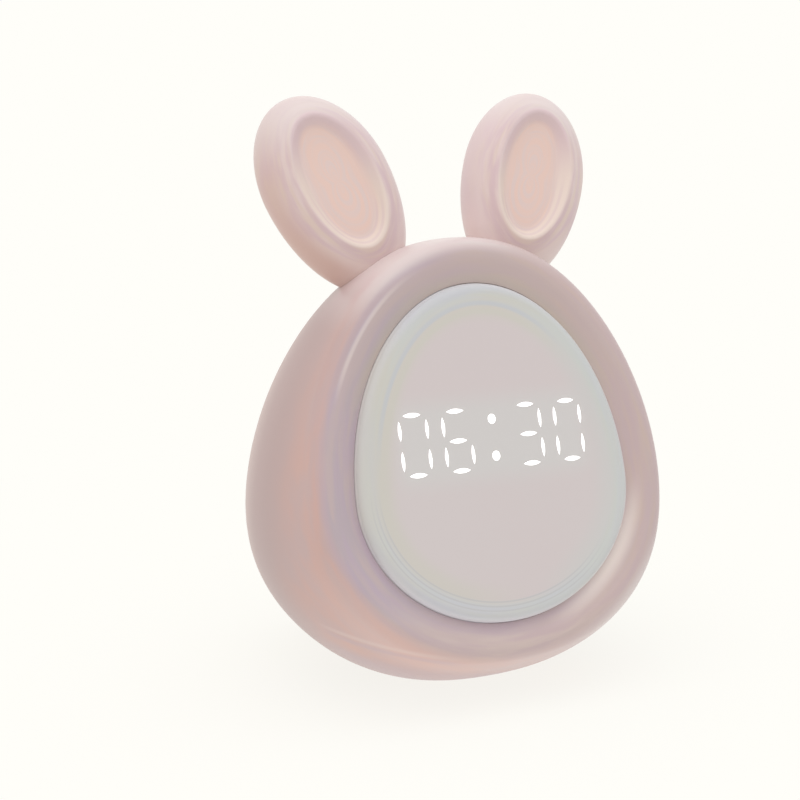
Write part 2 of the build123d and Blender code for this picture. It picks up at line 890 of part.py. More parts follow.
with BuildPart() as tact_switches:
    with BuildSketch(board_rear):
        with Locations(*switch_spots):
            RectangleRounded(switch_width, switch_width, switch_corner)
    extrude(amount=switch_height)
    with BuildSketch(board_rear.offset(switch_height)):
        with Locations(*switch_spots):
            Circle(stem_radius + stem_clearance)
    extrude(amount=-(switch_height - switch_floor), mode=Mode.SUBTRACT)
write(tact_switches, "tact_switches")

for stem_name, spot in zip(stem_names, switch_spots):
    with BuildPart() as stem:
        with BuildSketch(board_rear.offset(switch_floor + stem_room)):
            with Locations(spot):
                Circle(stem_radius)
        extrude(amount=stem_top - switch_floor - stem_room)
    write(stem, stem_name)

# ---------------------------------------------------------------- control board

with BuildPart() as main_board:
    with BuildSketch(board_rear):
        with Locations((0, board_centre_height)):
            RectangleRounded(board_width, board_height, board_corner)
        with Locations((0, speaker_height)):
            Circle(magnet_radius + blind_end, mode=Mode.SUBTRACT)
        with Locations(*board_screw_points):
            Circle(small_screw_radius + hole_clearance, mode=Mode.SUBTRACT)
    extrude(amount=-board_thickness)
write(main_board, "main_board")

with BuildPart() as board_chips:
    with BuildSketch(board_front):
        with Locations((-chip_side, board_centre_height + chip_rise)):
            Rectangle(chip_width, chip_width)
        with Locations((chip_side, board_centre_height + chip_rise)):
            Rectangle(small_chip_width, small_chip_width)
        with Locations((chip_side, board_centre_height - small_chip_drop)):
            Rectangle(small_chip_width, small_chip_width)
    extrude(amount=-chip_height)
    with BuildSketch(board_front):
        with Locations((-chip_side, board_centre_height - capacitor_drop)):
            Circle(capacitor_radius)
    extrude(amount=-capacitor_height)
write(board_chips, "board_chips")

with BuildPart() as board_screws:
    for x, z in board_screw_points:
        origin = board_front.from_local_coords(Vector(x, z, 0))
        seat = Plane(origin=origin, x_dir=(1, 0, 0), z_dir=(0, -1, 0))
        length = board_thickness + small_screw_bite
        add(screw(seat, small_screw_radius, length, small_head_radius, small_head_height))
write(board_screws, "board_screws")

socket_length = board_gap + wall - socket_recess
with BuildPart() as usb_socket:
    with BuildSketch(board_rear):
        with Locations((0, socket_height_above_base)):
            SlotOverall(socket_width, socket_height)
    extrude(amount=socket_length)
    with BuildSketch(board_rear.offset(socket_length)):
        with Locations((0, socket_height_above_base)):
            SlotOverall(socket_width - 2 * socket_wall, socket_height - 2 * socket_wall)
            Rectangle(tongue_width, tongue_thickness, mode=Mode.SUBTRACT)
    extrude(amount=-(socket_length - blind_end), mode=Mode.SUBTRACT)
write(usb_socket, "usb_socket")

# ---------------------------------------------------------------- speaker

speaker_axis = Axis((0, rear_reach - wall, speaker_height), (0, 1, 0))
speaker_profile = Plane(
    origin=(0, rear_reach - wall, speaker_height), x_dir=(1, 0, 0), z_dir=(0, 0, 1)
)
ledge_radius = speaker_radius - cone_sheet
surround_radius = ledge_radius - thread_clearance
cone_radius = ledge_radius - surround_width

with BuildPart() as speaker_frame:
    with BuildSketch(speaker_profile):
        with BuildLine():
            Polyline(
                (speaker_radius, 0),
                (speaker_radius, -speaker_rim - speaker_sheet),
                (cone_radius + speaker_sheet, -speaker_rim - speaker_sheet),
                (magnet_radius + speaker_sheet, -speaker_back),
                (basket_opening, -speaker_back),
                (basket_opening, -speaker_basket),
                (magnet_radius + speaker_sheet / 2, -speaker_basket),
                (cone_radius, -speaker_rim),
                (ledge_radius, -speaker_rim),
                (ledge_radius, 0),
                close=True,
            )
        make_face()
    revolve(axis=speaker_axis)
write(speaker_frame, "speaker_frame")

cone_top = cone_sheet - speaker_rim
with BuildPart() as speaker_cone:
    with BuildSketch(speaker_profile):
        with BuildLine():
            Polyline((surround_radius, -speaker_rim), (cone_radius, -speaker_rim), (coil_radius, -cone_depth))
            Polyline((coil_radius, -cone_depth), (0, -cone_depth), (0, -cap_rise))
            ThreePointArc(
                (0, -cap_rise),
                (coil_radius * 0.6, -cap_rise - cone_sheet / 3),
                (coil_radius + cone_sheet, cone_sheet - cone_depth),
            )
            Line((coil_radius + cone_sheet, cone_sheet - cone_depth), (cone_radius, cone_top))
            Polyline((cone_radius, cone_top), (surround_radius, cone_top), (surround_radius, -speaker_rim))
        make_face()
    revolve(axis=speaker_axis)
write(speaker_cone, "speaker_cone")

with BuildPart() as speaker_magnet:
    with BuildSketch(rear_inner.offset(-speaker_back)):
        with Locations((0, speaker_height)):
            Circle(magnet_radius)
    extrude(amount=-magnet_thickness)
    chamfer(faces().sort_by(Axis.Y)[0].edges(), cone_sheet)
write(speaker_magnet, "speaker_magnet")

# ---------------------------------------------------------------- battery

cell_height = cradle_floor_height + cradle_wall + cradle_clearance + cell_radius
half_cell = cell_length / 2
end_plane = Plane.YZ.offset(-half_cell)

with BuildPart() as battery_cell:
    with BuildSketch(end_plane):
        with Locations((-cradle_forward, cell_height)):
            Circle(cell_radius)
    extrude(amount=cell_length - cell_nose)
    fillet(edges().filter_by(GeomType.CIRCLE), cell_edge_radius)
    with BuildSketch(end_plane.offset(cell_length - cell_nose)):
        with Locations((-cradle_forward, cell_height)):
            Circle(cell_nose_radius)
    extrude(amount=cell_nose)
write(battery_cell, "battery_cell")

bay_radius = cell_radius + cradle_clearance
cradle_width = 2 * (bay_radius + cradle_wall)
cradle_top = cell_height + cradle_rise
tab_length = cradle_tab_reach - bay_radius - cradle_wall / 2
tab_middle = cradle_tab_reach - tab_length / 2
half_bay = half_cell + contact_thickness
with BuildPart() as battery_cradle:
    with BuildSketch(Plane.YZ.offset(-half_bay - cradle_wall)):
        with Locations((-cradle_forward, (cradle_floor_height + cradle_top) / 2)):
            Rectangle(cradle_width, cradle_top - cradle_floor_height)
    extrude(amount=2 * (half_bay + cradle_wall))
    with BuildSketch(Plane.YZ.offset(-half_bay)):
        with Locations((-cradle_forward, cell_height)):
            Circle(bay_radius)
        with Locations((-cradle_forward, cell_height + bay_radius)):
            Rectangle(2 * bay_radius, 2 * bay_radius)
    extrude(amount=2 * half_bay, mode=Mode.SUBTRACT)
    with BuildSketch(Plane.XY.offset(cradle_floor_height)):
        with Locations(*cradle_tab_points):
            Circle(cradle_tab_radius)
        for side in (-1, 1):
            with Locations((side * cradle_tab_side, -side * tab_middle - cradle_forward)):
                Rectangle(2 * cradle_tab_radius, tab_length)
    extrude(amount=cradle_wall)
    with BuildSketch(Plane.XY.offset(cradle_floor_height)):
        with Locations(*cradle_tab_points):
            Circle(small_screw_radius + hole_clearance)
    extrude(amount=cradle_wall, mode=Mode.SUBTRACT)
write(battery_cradle, "battery_cradle")

with BuildPart() as battery_contacts:
    for end in (-1, 1):
        with BuildSketch(Plane.YZ.offset(end * half_cell)):
            with Locations((-cradle_forward, cell_height)):
                Rectangle(contact_width, contact_width)
        extrude(amount=end * contact_thickness)
write(battery_contacts, "battery_contacts")

with BuildPart() as cradle_screws:
    for x, y in cradle_tab_points:
        seat = Plane((x, y, cradle_floor_height + cradle_wall))
        length = cradle_wall + small_screw_bite
        add(screw(seat, small_screw_radius, length, small_head_radius, small_head_height))
write(cradle_screws, "cradle_screws")

with BuildPart() as cover_screws:
    for x, z in cover_screw_points:
        origin = parting_plane.from_local_coords(Vector(x, z, cover_well_floor))
        seat = Plane(origin=origin, x_dir=(1, 0, 0), z_dir=(0, 1, 0))
        length = cover_well_floor + cover_boss_length - 2 * blind_end
        add(screw(seat, cover_screw_radius, length, cover_head_radius, head_height))
write(cover_screws, "cover_screws")

# ---------------------------------------------------------------- wiring

board_back = face_plane.offset(-board_back_depth)
ribbon_start = board_back.from_local_coords(Vector(0, ribbon_rise, -plug_height))
ribbon_end_height = board_centre_height + ribbon_end_rise
ribbon_finish = Vector(0, board_front.origin.Y - plug_height, ribbon_end_height)
ribbon_low = (ribbon_start + ribbon_finish) / 2 - Vector(0, 0, ribbon_slack)
with BuildPart() as display_ribbon:
    with BuildLine() as ribbon_path:
        Spline(ribbon_start, ribbon_low, ribbon_finish, tangents=(-face_plane.z_dir, (0, 1, 0)))
    with BuildSketch(Plane(origin=ribbon_start, x_dir=(1, 0, 0), z_dir=-face_plane.z_dir)):
        Rectangle(ribbon_width, ribbon_thickness)
    sweep()
    with BuildSketch(board_back):
        with Locations((0, ribbon_rise)):
            Rectangle(plug_length, plug_width)
    extrude(amount=-plug_height)
    with BuildSketch(board_front):
        with Locations((0, ribbon_end_height)):
            Rectangle(plug_length, plug_width)
    extrude(amount=-plug_height)
write(display_ribbon, "display_ribbon")

lead_start_side = half_cell + lead_radius + 2 * thread_clearance
lead_start_height = cell_height + contact_width / 2
lead_end_height = board_centre_height - lead_end_drop
lead_end_reach = board_front.origin.Y
with BuildPart() as battery_leads:
    for side in (-1, 1):
        start = (side * lead_start_side, -cradle_forward, lead_start_height)
        with BuildLine() as lead_path:
            Spline(
                start,
                (side * lead_start_side, cell_radius, lead_start_height + lead_bow),
                (side * lead_turn_side, lead_end_reach - lead_turn_back, lead_start_height - lead_bow),
                (side * lead_end_side, lead_end_reach, lead_end_height),
                tangents=((0, 0, 1), (0, 1, 0)),
            )
        with BuildSketch(Plane(start)):
            Circle(lead_radius)
        sweep()
write(battery_leads, "battery_leads")
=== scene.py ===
"""Dresses the bunny-eared bedside alarm clock: satin shell, lit panel and digits, back controls."""

import math
from types import SimpleNamespace

import bmesh
import bpy
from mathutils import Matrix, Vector


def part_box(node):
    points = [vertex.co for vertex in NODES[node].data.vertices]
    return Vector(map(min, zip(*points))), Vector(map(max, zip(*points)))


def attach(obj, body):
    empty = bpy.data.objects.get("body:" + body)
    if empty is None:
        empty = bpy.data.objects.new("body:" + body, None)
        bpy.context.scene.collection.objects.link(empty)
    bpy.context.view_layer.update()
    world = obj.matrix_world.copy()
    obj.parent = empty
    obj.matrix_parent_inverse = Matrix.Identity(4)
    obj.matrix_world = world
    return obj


bl_info = {
    "name": "Bunny Alarm Clock",
    "version": (1, 0, 0),
    "blender": (4, 5, 0),
    "location": "View3D > Sidebar > Clock",
    "description": "Finishes the bedside alarm clock and sets it on a pale stage",
    "category": "Object",
}

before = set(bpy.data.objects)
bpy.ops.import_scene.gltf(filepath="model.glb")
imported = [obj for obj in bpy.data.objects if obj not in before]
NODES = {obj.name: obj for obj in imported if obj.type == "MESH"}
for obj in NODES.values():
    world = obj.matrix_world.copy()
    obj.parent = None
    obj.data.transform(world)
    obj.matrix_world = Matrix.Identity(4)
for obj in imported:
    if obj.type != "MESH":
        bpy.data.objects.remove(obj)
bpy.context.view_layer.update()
BODY = "clock"

# The display's own plane: where the window is centred and how far it leans back
FACE_CENTRE = Vector((0, -0.0297, 0.0453))
FACE_TILT = math.radians(16.9)
FACE_UP = Vector((0, math.sin(FACE_TILT), math.cos(FACE_TILT)))
FACE_OUT = Vector((0, -math.cos(FACE_TILT), math.sin(FACE_TILT)))
WINDOW_HALF_WIDTH = 0.0301
WINDOW_RISE = 0.0422
WINDOW_FALL = 0.0271
RIM_WIDTH = 0.0073
PANEL_INSET = 0.0005
PANEL_CROWN_RADIUS = 0.9

# Where the front and rear housings meet
PARTING_REACH = 0.0155

# The right ear's own axes, and the outline of the dish in its front; the left ear mirrors it
EAR_CENTRE = Vector((0.0228, 0.0075, 0.1039))
EAR_ACROSS = Vector((0.934, -0.082, -0.347))
EAR_UP = Vector((0.354, 0.342, 0.871))
EAR_OUT = EAR_ACROSS.cross(EAR_UP)
DISH_CENTRE = EAR_CENTRE - 0.0004 * EAR_ACROSS - 0.0012 * EAR_UP
DISH_HALF_WIDTH = 0.0082
DISH_HALF_HEIGHT = 0.015

# How much slower the pearly streaks change along an oval than across it
FLOW_STRETCH = 0.12


# ---- node helpers


def feed(tree, socket, value):
    """Link a socket to another one, or set it to a value."""
    if isinstance(value, bpy.types.NodeSocket):
        tree.links.new(value, socket)
    else:
        socket.default_value = value


def add_node(tree, kind, **values):
    """A new shader node, with its named sockets fed and its named properties set."""
    node = tree.nodes.new(kind)
    for name, value in values.items():
        if name in node.inputs:
            feed(tree, node.inputs[name], value)
        else:
            setattr(node, name, value)
    return node


def maths(tree, operation, first, second=0.0, third=0.0):
    """One maths node on sockets or numbers."""
    node = add_node(tree, "ShaderNodeMath", operation=operation)
    for socket, value in zip(node.inputs, (first, second, third)):
        feed(tree, socket, value)
    return node.outputs["Value"]


def vector_maths(tree, operation, first, second=(0, 0, 0)):
    """One vector maths node's outputs."""
    node = add_node(tree, "ShaderNodeVectorMath", operation=operation)
    for socket, value in zip(node.inputs, (first, second)):
        feed(tree, socket, value)
    return node.outputs


def dot(tree, vector, direction):
    """How far a vector reaches along a fixed direction."""
    return vector_maths(tree, "DOT_PRODUCT", vector, direction)["Value"]


def hypotenuse(tree, first, second):
    """The length of two values at right angles."""
    squares = [maths(tree, "MULTIPLY", value, value) for value in (first, second)]
    return maths(tree, "SQRT", maths(tree, "ADD", *squares))


def past(tree, value, limit):
    """How far a value's size goes past a limit, and 0 within it."""
    size = maths(tree, "ABSOLUTE", value)
    return maths(tree, "MAXIMUM", maths(tree, "SUBTRACT", size, limit), 0.0)


def waves(tree, value, spacing):
    """Waves along a value, one for each spacing."""
    return maths(tree, "SINE", maths(tree, "MULTIPLY", value, 2 * math.pi / spacing))


def blend(tree, mask, first, second):
    """Two colours mixed by a mask."""
    node = add_node(tree, "ShaderNodeMix", data_type="RGBA")
    feed(tree, node.inputs["Factor"], mask)
    for socket, value in ((node.inputs["A"], first), (node.inputs["B"], second)):
        feed(tree, socket, value if isinstance(value, bpy.types.NodeSocket) else (*value, 1))
    return node.outputs["Result"]


def ease(tree, value, start, end):
    """A smooth step from 0 at start to 1 at end."""
    node = add_node(tree, "ShaderNodeMapRange", interpolation_type="SMOOTHSTEP", Value=value)
    node.inputs["From Min"].default_value = min(start, end)
    node.inputs["From Max"].default_value = max(start, end)
    if start > end:
        node.inputs["To Min"].default_value = 1.0
        node.inputs["To Max"].default_value = 0.0
    return node.outputs["Result"]


def band(tree, value, start, full, fade, end):
    """A mask that rises from start to full and falls again from fade to end."""
    return maths(tree, "MULTIPLY", ease(tree, value, start, full), ease(tree, value, end, fade))


def all_of(tree, *masks):
    """Where every mask holds."""
    result = masks[0]
    for mask in masks[1:]:
        result = maths(tree, "MULTIPLY", result, mask)
    return result


def any_of(tree, *masks):
    """Where any mask holds."""
    result = masks[0]
    for mask in masks[1:]:
        result = maths(tree, "MAXIMUM", result, mask)
    return result


def at_least(tree, mask, least):
    """A mask that keeps a least share where it would vanish."""
    return maths(tree, "MULTIPLY_ADD", mask, 1.0 - least, least)


def tone(tree, painted, added, *masks, share=1.0):
    """Lay a tone over the paint where every mask holds, at a share of its strength."""
    mask = all_of(tree, *masks)
    if share < 1.0:
        mask = maths(tree, "MULTIPLY", mask, share)
    return blend(tree, mask, painted, added)


def zone_masks(tree, measures, zones):
    """A mask for each named zone of a finish."""
    masks = {}
    for name, (measure, *edges) in zones.items():
        step = ease if len(edges) == 2 else band
        masks[name] = step(tree, measures[measure], *edges)
    return SimpleNamespace(**masks)


def object_place(tree):
    """The point being shaded, in the clock's own frame."""
    return add_node(tree, "ShaderNodeTexCoord").outputs["Object"]


def empty_tree(owner):
    """The emptied node tree of a material or a world."""
    owner.use_nodes = True
    owner.node_tree.nodes.clear()
    return owner.node_tree


def mix_shaders(tree, mask, first, second, output):
    """Mix two shaders by a mask into an output node."""
    mix = add_node(tree, "ShaderNodeMixShader", Fac=mask)
    tree.links.new(first.outputs[0], mix.inputs[1])
    tree.links.new(second.outputs[0], mix.inputs[2])
    tree.links.new(mix.outputs["Shader"], output.inputs["Surface"])


def new_group(name, inputs, outputs):
    """An empty node group with its sockets and its two end nodes."""
    group = bpy.data.node_groups.new(name, "ShaderNodeTree")
    for way, sockets in (("INPUT", inputs), ("OUTPUT", outputs)):
        for socket, kind in sockets.items():
            group.interface.new_socket(socket, in_out=way, socket_type=f"NodeSocket{kind}")
    return group, add_node(group, "NodeGroupInput"), add_node(group, "NodeGroupOutput")


def use_group(tree, group, **values):
    """Place a node group with its inputs set or linked."""
    node = add_node(tree, "ShaderNodeGroup", node_tree=group)
    for name, value in values.items():
        feed(tree, node.inputs[name], value)
    return node.outputs


# ---- node groups

TINT_SEEDS = (0.0, 7.3)
CLOUD_EDGE = (0.38, 0.66)


def tint_group():
    """Slow drifts of colour over a surface: a base tone with two others clouded in."""
    colours = {"Base": "Color", "Warm": "Color", "Cool": "Color"}
    sockets = {"Place": "Vector", **colours, "Amount": "Float", "Scale": "Float"}
    group, start, end = new_group("soft_tint", sockets, {"Color": "Color"})
    given = start.outputs
    tinted = given["Base"]
    for seed, drift in zip(TINT_SEEDS, ("Warm", "Cool")):
        spread = {"Vector": given["Place"], "Scale": given["Scale"], "W": seed}
        noise = add_node(group, "ShaderNodeTexNoise", noise_dimensions="4D", Detail=2.0, **spread)
        cloud = ease(group, noise.outputs["Fac"], *CLOUD_EDGE)
        mask = maths(group, "MULTIPLY", cloud, given["Amount"])
        tinted = blend(group, mask, tinted, given[drift])
    feed(group, end.inputs["Color"], tinted)
    return group


def grain_group():
    """The fine texture a mould leaves: a height that varies over the surface."""
    group, start, end = new_group("mould_grain", {"Scale": "Float"}, {"Height": "Float"})
    place, scale = object_place(group), start.outputs["Scale"]
    noise = add_node(group, "ShaderNodeTexNoise", Vector=place, Scale=scale, Detail=3.0, Roughness=0.6)
    feed(group, end.inputs["Height"], noise.outputs["Fac"])
    return group


def mirrored_place(tree, place):
    """A place with its left half folded onto the right."""
    parts = add_node(tree, "ShaderNodeSeparateXYZ", Vector=place).outputs
    folded = maths(tree, "ABSOLUTE", parts["X"])
    joined = add_node(tree, "ShaderNodeCombineXYZ", X=folded, Y=parts["Y"], Z=parts["Z"])
    return joined.outputs["Vector"]


def oval_group(name, centre, ways, half_width, rise, fall, mirrored=False):
    """Places about an oval: across, up, ahead, how far outside it, and a place drawn out along it."""
    outputs = {"Across": "Float", "Up": "Float", "Ahead": "Float", "Off": "Float", "Flow": "Vector"}
    group, start, end = new_group(name, {}, outputs)
    place = object_place(group)
    if mirrored:
        place = mirrored_place(group, place)
    offset = vector_maths(group, "SUBTRACT", place, centre)["Vector"]
    across, up, ahead = (dot(group, offset, way) for way in ways)
    above = maths(group, "GREATER_THAN", up, 0.0)
    half_height = maths(group, "MULTIPLY_ADD", above, rise - fall, fall)
    share_across = maths(group, "DIVIDE", across, half_width)
    share_up = maths(group, "DIVIDE", up, half_height)
    reach = hypotenuse(group, share_across, share_up)
    radius = hypotenuse(group, across, up)
    off = maths(group, "SUBTRACT", radius, maths(group, "DIVIDE", radius, reach))
    slow_across, slow_up = (maths(group, "MULTIPLY", value, FLOW_STRETCH) for value in (across, up))
    flow = add_node(group, "ShaderNodeCombineXYZ", X=off, Y=slow_across, Z=slow_up)
    for socket, value in zip(outputs, (across, up, ahead, off, flow.outputs["Vector"])):
        feed(group, end.inputs[socket], value)
    return group


TINT = tint_group()
GRAIN = grain_group()
FACE_WAYS = (Vector((1, 0, 0)), FACE_UP, FACE_OUT)
WINDOW = oval_group("window_place", FACE_CENTRE, FACE_WAYS, WINDOW_HALF_WIDTH, WINDOW_RISE, WINDOW_FALL)
EAR_WAYS = (EAR_ACROSS, EAR_UP, EAR_OUT)
DISH_SIZES = (DISH_HALF_WIDTH, DISH_HALF_HEIGHT, DISH_HALF_HEIGHT)
DISH = oval_group("ear_place", DISH_CENTRE, EAR_WAYS, *DISH_SIZES, mirrored=True)


# ---- materials

SATIN = {"Coat_Weight": 0.15, "Coat_Roughness": 0.25}
SATIN_ROUGHNESS = 0.4
FINE_GRAIN = 2200.0
PANEL_GRAIN = 1500.0
SCRATCH_GRAIN = 5000.0
RELIEF_DEPTH = 0.0002


def new_material(name, roughness, **shader):
    """A Principled material: itself, its tree and its shader's inputs."""
    material = bpy.data.materials.new(name)
    tree = empty_tree(material)
    out = add_node(tree, "ShaderNodeOutputMaterial")
    surface = add_node(tree, "ShaderNodeBsdfPrincipled", Roughness=roughness)
    for socket, value in shader.items():
        surface.inputs[socket.replace("_", " ")].default_value = value
    tree.links.new(surface.outputs["BSDF"], out.inputs["Surface"])
    return material, tree, surface.inputs


def add_relief(tree, inputs, height, strength):
    """Bump the surface by a height."""
    relief = add_node(tree, "ShaderNodeBump", Strength=strength, Distance=RELIEF_DEPTH, Height=height)
    tree.links.new(relief.outputs["Normal"], inputs["Normal"])


def grain_height(tree, scale):
    """The mould grain's height at a scale."""
    return use_group(tree, GRAIN, Scale=scale)["Height"]


def clouded(tree, base, warm, cool, amount, scale, place=None):
    """A base tone with two others clouded in, over the object or along a given place."""
    tones = {"Base": (*base, 1), "Warm": (*warm, 1), "Cool": (*cool, 1)}
    if place is None:
        place = object_place(tree)
    return use_group(tree, TINT, Place=place, Amount=amount, Scale=scale, **tones)["Color"]


def pearl(tree, flow, settings, *tones):
    """Streaks of a warm and a cool tone in a base tone that follow an outline."""
    return clouded(tree, *tones, settings.drift_amount, settings.drift_scale, flow)


def moulded(name, base, drift, scale=30.0, rough=0.45, bump=0.03):
    """Moulded plastic: drifting colour and a fine mould grain."""
    material, tree, inputs = new_material(name, rough)
    feed(tree, inputs["Base Color"], clouded(tree, base, drift, drift, amount=0.5, scale=scale))
    add_relief(tree, inputs, grain_height(tree, FINE_GRAIN), bump)
    return material


def brushed_metal(name, base, drift, rough=0.3):
    """Plated metal with fine scratches."""
    material, tree, inputs = new_material(name, rough, Metallic=1.0)
    feed(tree, inputs["Base Color"], clouded(tree, base, drift, drift, amount=0.6, scale=400.0))
    add_relief(tree, inputs, grain_height(tree, SCRATCH_GRAIN), strength=0.08)
    return material


def lit_finish(name, light, strength):
    """A lit stroke: white glow that clouds very slightly."""
    material, tree, inputs = new_material(name, roughness=0.4, Emission_Strength=strength)
    tinted = clouded(tree, light, (1, 1, 1), light, amount=0.5, scale=300.0)
    feed(tree, inputs["Base Color"], tinted)
    feed(tree, inputs["Emission Color"], tinted)
    return material


def about_oval(oval):
    """An oval group's measures by name."""
    return {name: oval[name] for name in ("Across", "Up", "Off", "Ahead")}


# Each zone of a finish is named with the measure it follows and the distances along it, in metres:
# two where it eases in, or four where it eases in and out again.

# How far the diagonal to the slope's lower right corner, where a highlight is painted, leans across and
# down
CORNER_ACROSS = 0.75
CORNER_DOWN = 0.66
# How much the painted fold shade and ridge highlight under the belly climb toward the left
BELLY_CLIMB = 0.242
# How strong the crown's painted highlight stays at the right, and how strong the crest's is
CROWN_LEAST = 0.5
CREST_SHARE = 0.5
# The mould grain's depth beside the seam's, and the strength of both
GRAIN_SHARE = 0.1
SEAM_RELIEF = 0.3

SHELL_ZONES = {
    "sides": ("Depth", -0.026, -0.006),
    "back": ("Depth", -0.002, 0.012),
    "front": ("Ahead", -0.016, -0.006),
    # The crown and crest zones hold the painted highlight
    "crown": ("Height", 0.0755, 0.0885),
    "crown_left": ("Across", 0.014, 0.002),
    "crest": ("Off", 0.004, 0.008, 0.01, 0.014),
    "crest_low": ("Up", -0.006, -0.028),
    "left": ("Across", 0.004, -0.014),
    "low": ("Up", 0.0, -0.012),
    "right": ("Across", 0.006, 0.028),
    "right_low": ("Up", -0.008, -0.024),
    "slope": ("Off", RIM_WIDTH + 0.0012, RIM_WIDTH - 0.0016),
    "slope_right": ("Across", -0.026, 0.01),
    "slope_low": ("Up", -0.016, -0.034),
    "slope_contact": ("Off", 0.0034, 0.0008),
    "slope_corner": ("Corner", 0.0235, 0.0325),
    "slope_inner": ("Off", 0.004, 0.0012),
    "slope_top": ("Up", 0.012, 0.028),
    "slope_near": ("Off", 0.0034, 0.0006),
    "slope_far": ("Off", 0.002, 0.004, 0.0048, 0.0062),
    "line_stretch": ("Up", 0.018, 0.029, 0.037, 0.047),
    "line_left": ("Across", 0.01, -0.006),
    "outer_line": ("Off", 0.0061, 0.0067, 0.007, 0.0079),
    "inner_line": ("Off", 0.005, 0.0056, 0.0058, 0.0064),
    "belly_left": ("Across", -0.008, -0.018),
    "belly_front": ("Depth", -0.019, -0.026),
    "belly_fold": ("Climb", 0.0078, 0.0085, 0.0088, 0.0095),
    "belly_ridge": ("Climb", 0.0093, 0.0099, 0.0101, 0.0108),
    "base": ("Climb", 0.0072, 0.0036),
    "base_front": ("Depth", -0.012, -0.022),
}


def shell_measures(tree, window):
    """What the housing's zones are measured along."""
    place = add_node(tree, "ShaderNodeSeparateXYZ", Vector=object_place(tree)).outputs
    aside = maths(tree, "MULTIPLY", window["Across"], CORNER_ACROSS)
    down = maths(tree, "MULTIPLY", window["Up"], CORNER_DOWN)
    return {
        **about_oval(window),
        "Depth": place["Y"],
        "Height": place["Z"],
        "Corner": maths(tree, "SUBTRACT", aside, down),
        "Climb": maths(tree, "MULTIPLY_ADD", window["Across"], BELLY_CLIMB, place["Z"]),
    }


def slope_paint(tree, zone, flow, settings):
    """The slope between crest and panel: mauve at the left, rosy at the right, painted light below with
    painted shade by the panel, and a painted highlight in its lower right corner.
    """
    mauve = pearl(tree, flow, settings, settings.dish_colour, settings.dish_rose, settings.dish_cool_and_painted_shade)
    rosy = pearl(tree, flow, settings, settings.dish_rose, settings.rose_warm, settings.rose_cool)
    # Painted light on the slope under the panel, with painted shade by the panel's lower edge
    under = pearl(tree, flow, settings, settings.dish_painted_light, settings.dish_rose, settings.rose_cool)
    under = tone(tree, under, settings.dish_cool_and_painted_shade, zone.slope_contact, share=0.6)
    toned = tone(tree, mauve, rosy, zone.slope_right)
    toned = tone(tree, toned, under, zone.slope_low)
    # Painted highlight in the slope's lower right corner
    toned = tone(tree, toned, settings.crest_painted_highlight, zone.slope_corner, zone.slope_inner)
    toned = tone(tree, toned, settings.dish_warm, zone.slope_top, zone.slope_near, share=0.6)
    return tone(tree, toned, settings.dish_rose, zone.slope_top, zone.slope_far, share=0.7)


def shell_paint(settings):
    """Satin housing paint: streaked pinks, a painted highlight on the crown and crest, painted shade on
    the sides and base, and a fine parting seam.
    """
    material, tree, inputs = new_material("satin_shell", SATIN_ROUGHNESS, **SATIN)
    window = use_group(tree, WINDOW)
    flow = window["Flow"]
    measures = shell_measures(tree, window)
    zone = zone_masks(tree, measures, SHELL_ZONES)

    painted = pearl(tree, flow, settings, settings.shell_colour, settings.shell_warm, settings.shell_cool)
    # Painted shade along the sides toward the back
    painted = tone(tree, painted, settings.shell_shade, zone.sides)
    painted = tone(tree, painted, settings.shell_back, zone.back)

    # Painted highlight on the crown, weaker at the right, and along the lower crest
    crown = all_of(tree, zone.crown, at_least(tree, zone.crown_left, CROWN_LEAST))
    crest = all_of(tree, zone.crest, zone.crest_low, zone.front)
    crest = maths(tree, "MULTIPLY", crest, CREST_SHARE)
    painted_highlight = pearl(tree, flow, settings, settings.shell_painted_light, settings.shell_blush, settings.shell_painted_light)
    painted_highlight = tone(tree, painted_highlight, settings.shell_rose, zone.left, zone.low)
    painted = tone(tree, painted, painted_highlight, any_of(tree, crown, crest))
    painted = tone(tree, painted, settings.shell_cool, zone.right, zone.front)
    # Painted light low on the right front
    painted = tone(tree, painted, settings.shell_painted_light, zone.right, zone.front, zone.right_low)
    painted = tone(tree, painted, slope_paint(tree, zone, flow, settings), zone.slope, zone.front)

    # A painted highlight line on the crest with a painted shade line just outside it, at the upper left
    upper_left = all_of(tree, zone.line_stretch, zone.line_left, zone.front)
    painted = tone(tree, painted, settings.line_and_base_painted_shade, zone.outer_line, upper_left, share=0.7)
    painted = tone(tree, painted, settings.crest_painted_highlight, zone.inner_line, upper_left, share=0.45)
    # Painted shade in a fold and a painted highlight on a ridge, low on the left under the belly
    lower_left = all_of(tree, zone.belly_left, zone.belly_front)
    painted = tone(tree, painted, settings.dish_cool_and_painted_shade, zone.belly_fold, lower_left, share=0.3)
    painted = tone(tree, painted, settings.crest_painted_highlight, zone.belly_ridge, lower_left, share=0.22)
    # Painted shade along the base
    painted = tone(tree, painted, settings.line_and_base_painted_shade, zone.base, zone.base_front, share=0.6)

    from_seam = maths(tree, "ABSOLUTE", maths(tree, "SUBTRACT", measures["Depth"], PARTING_REACH))
    seam = ease(tree, from_seam, settings.seam_width, 0.0)
    feed(tree, inputs["Base Color"], tone(tree, painted, settings.seam_colour, seam))
    grain = maths(tree, "MULTIPLY", grain_height(tree, FINE_GRAIN), GRAIN_SHARE)
    add_relief(tree, inputs, maths(tree, "SUBTRACT", grain, seam), SEAM_RELIEF)
    return material


# How much the dish's upper wall, where shade is painted, leans from the ear's own up toward the middle of
# the head
WALL_LEAN = -0.5

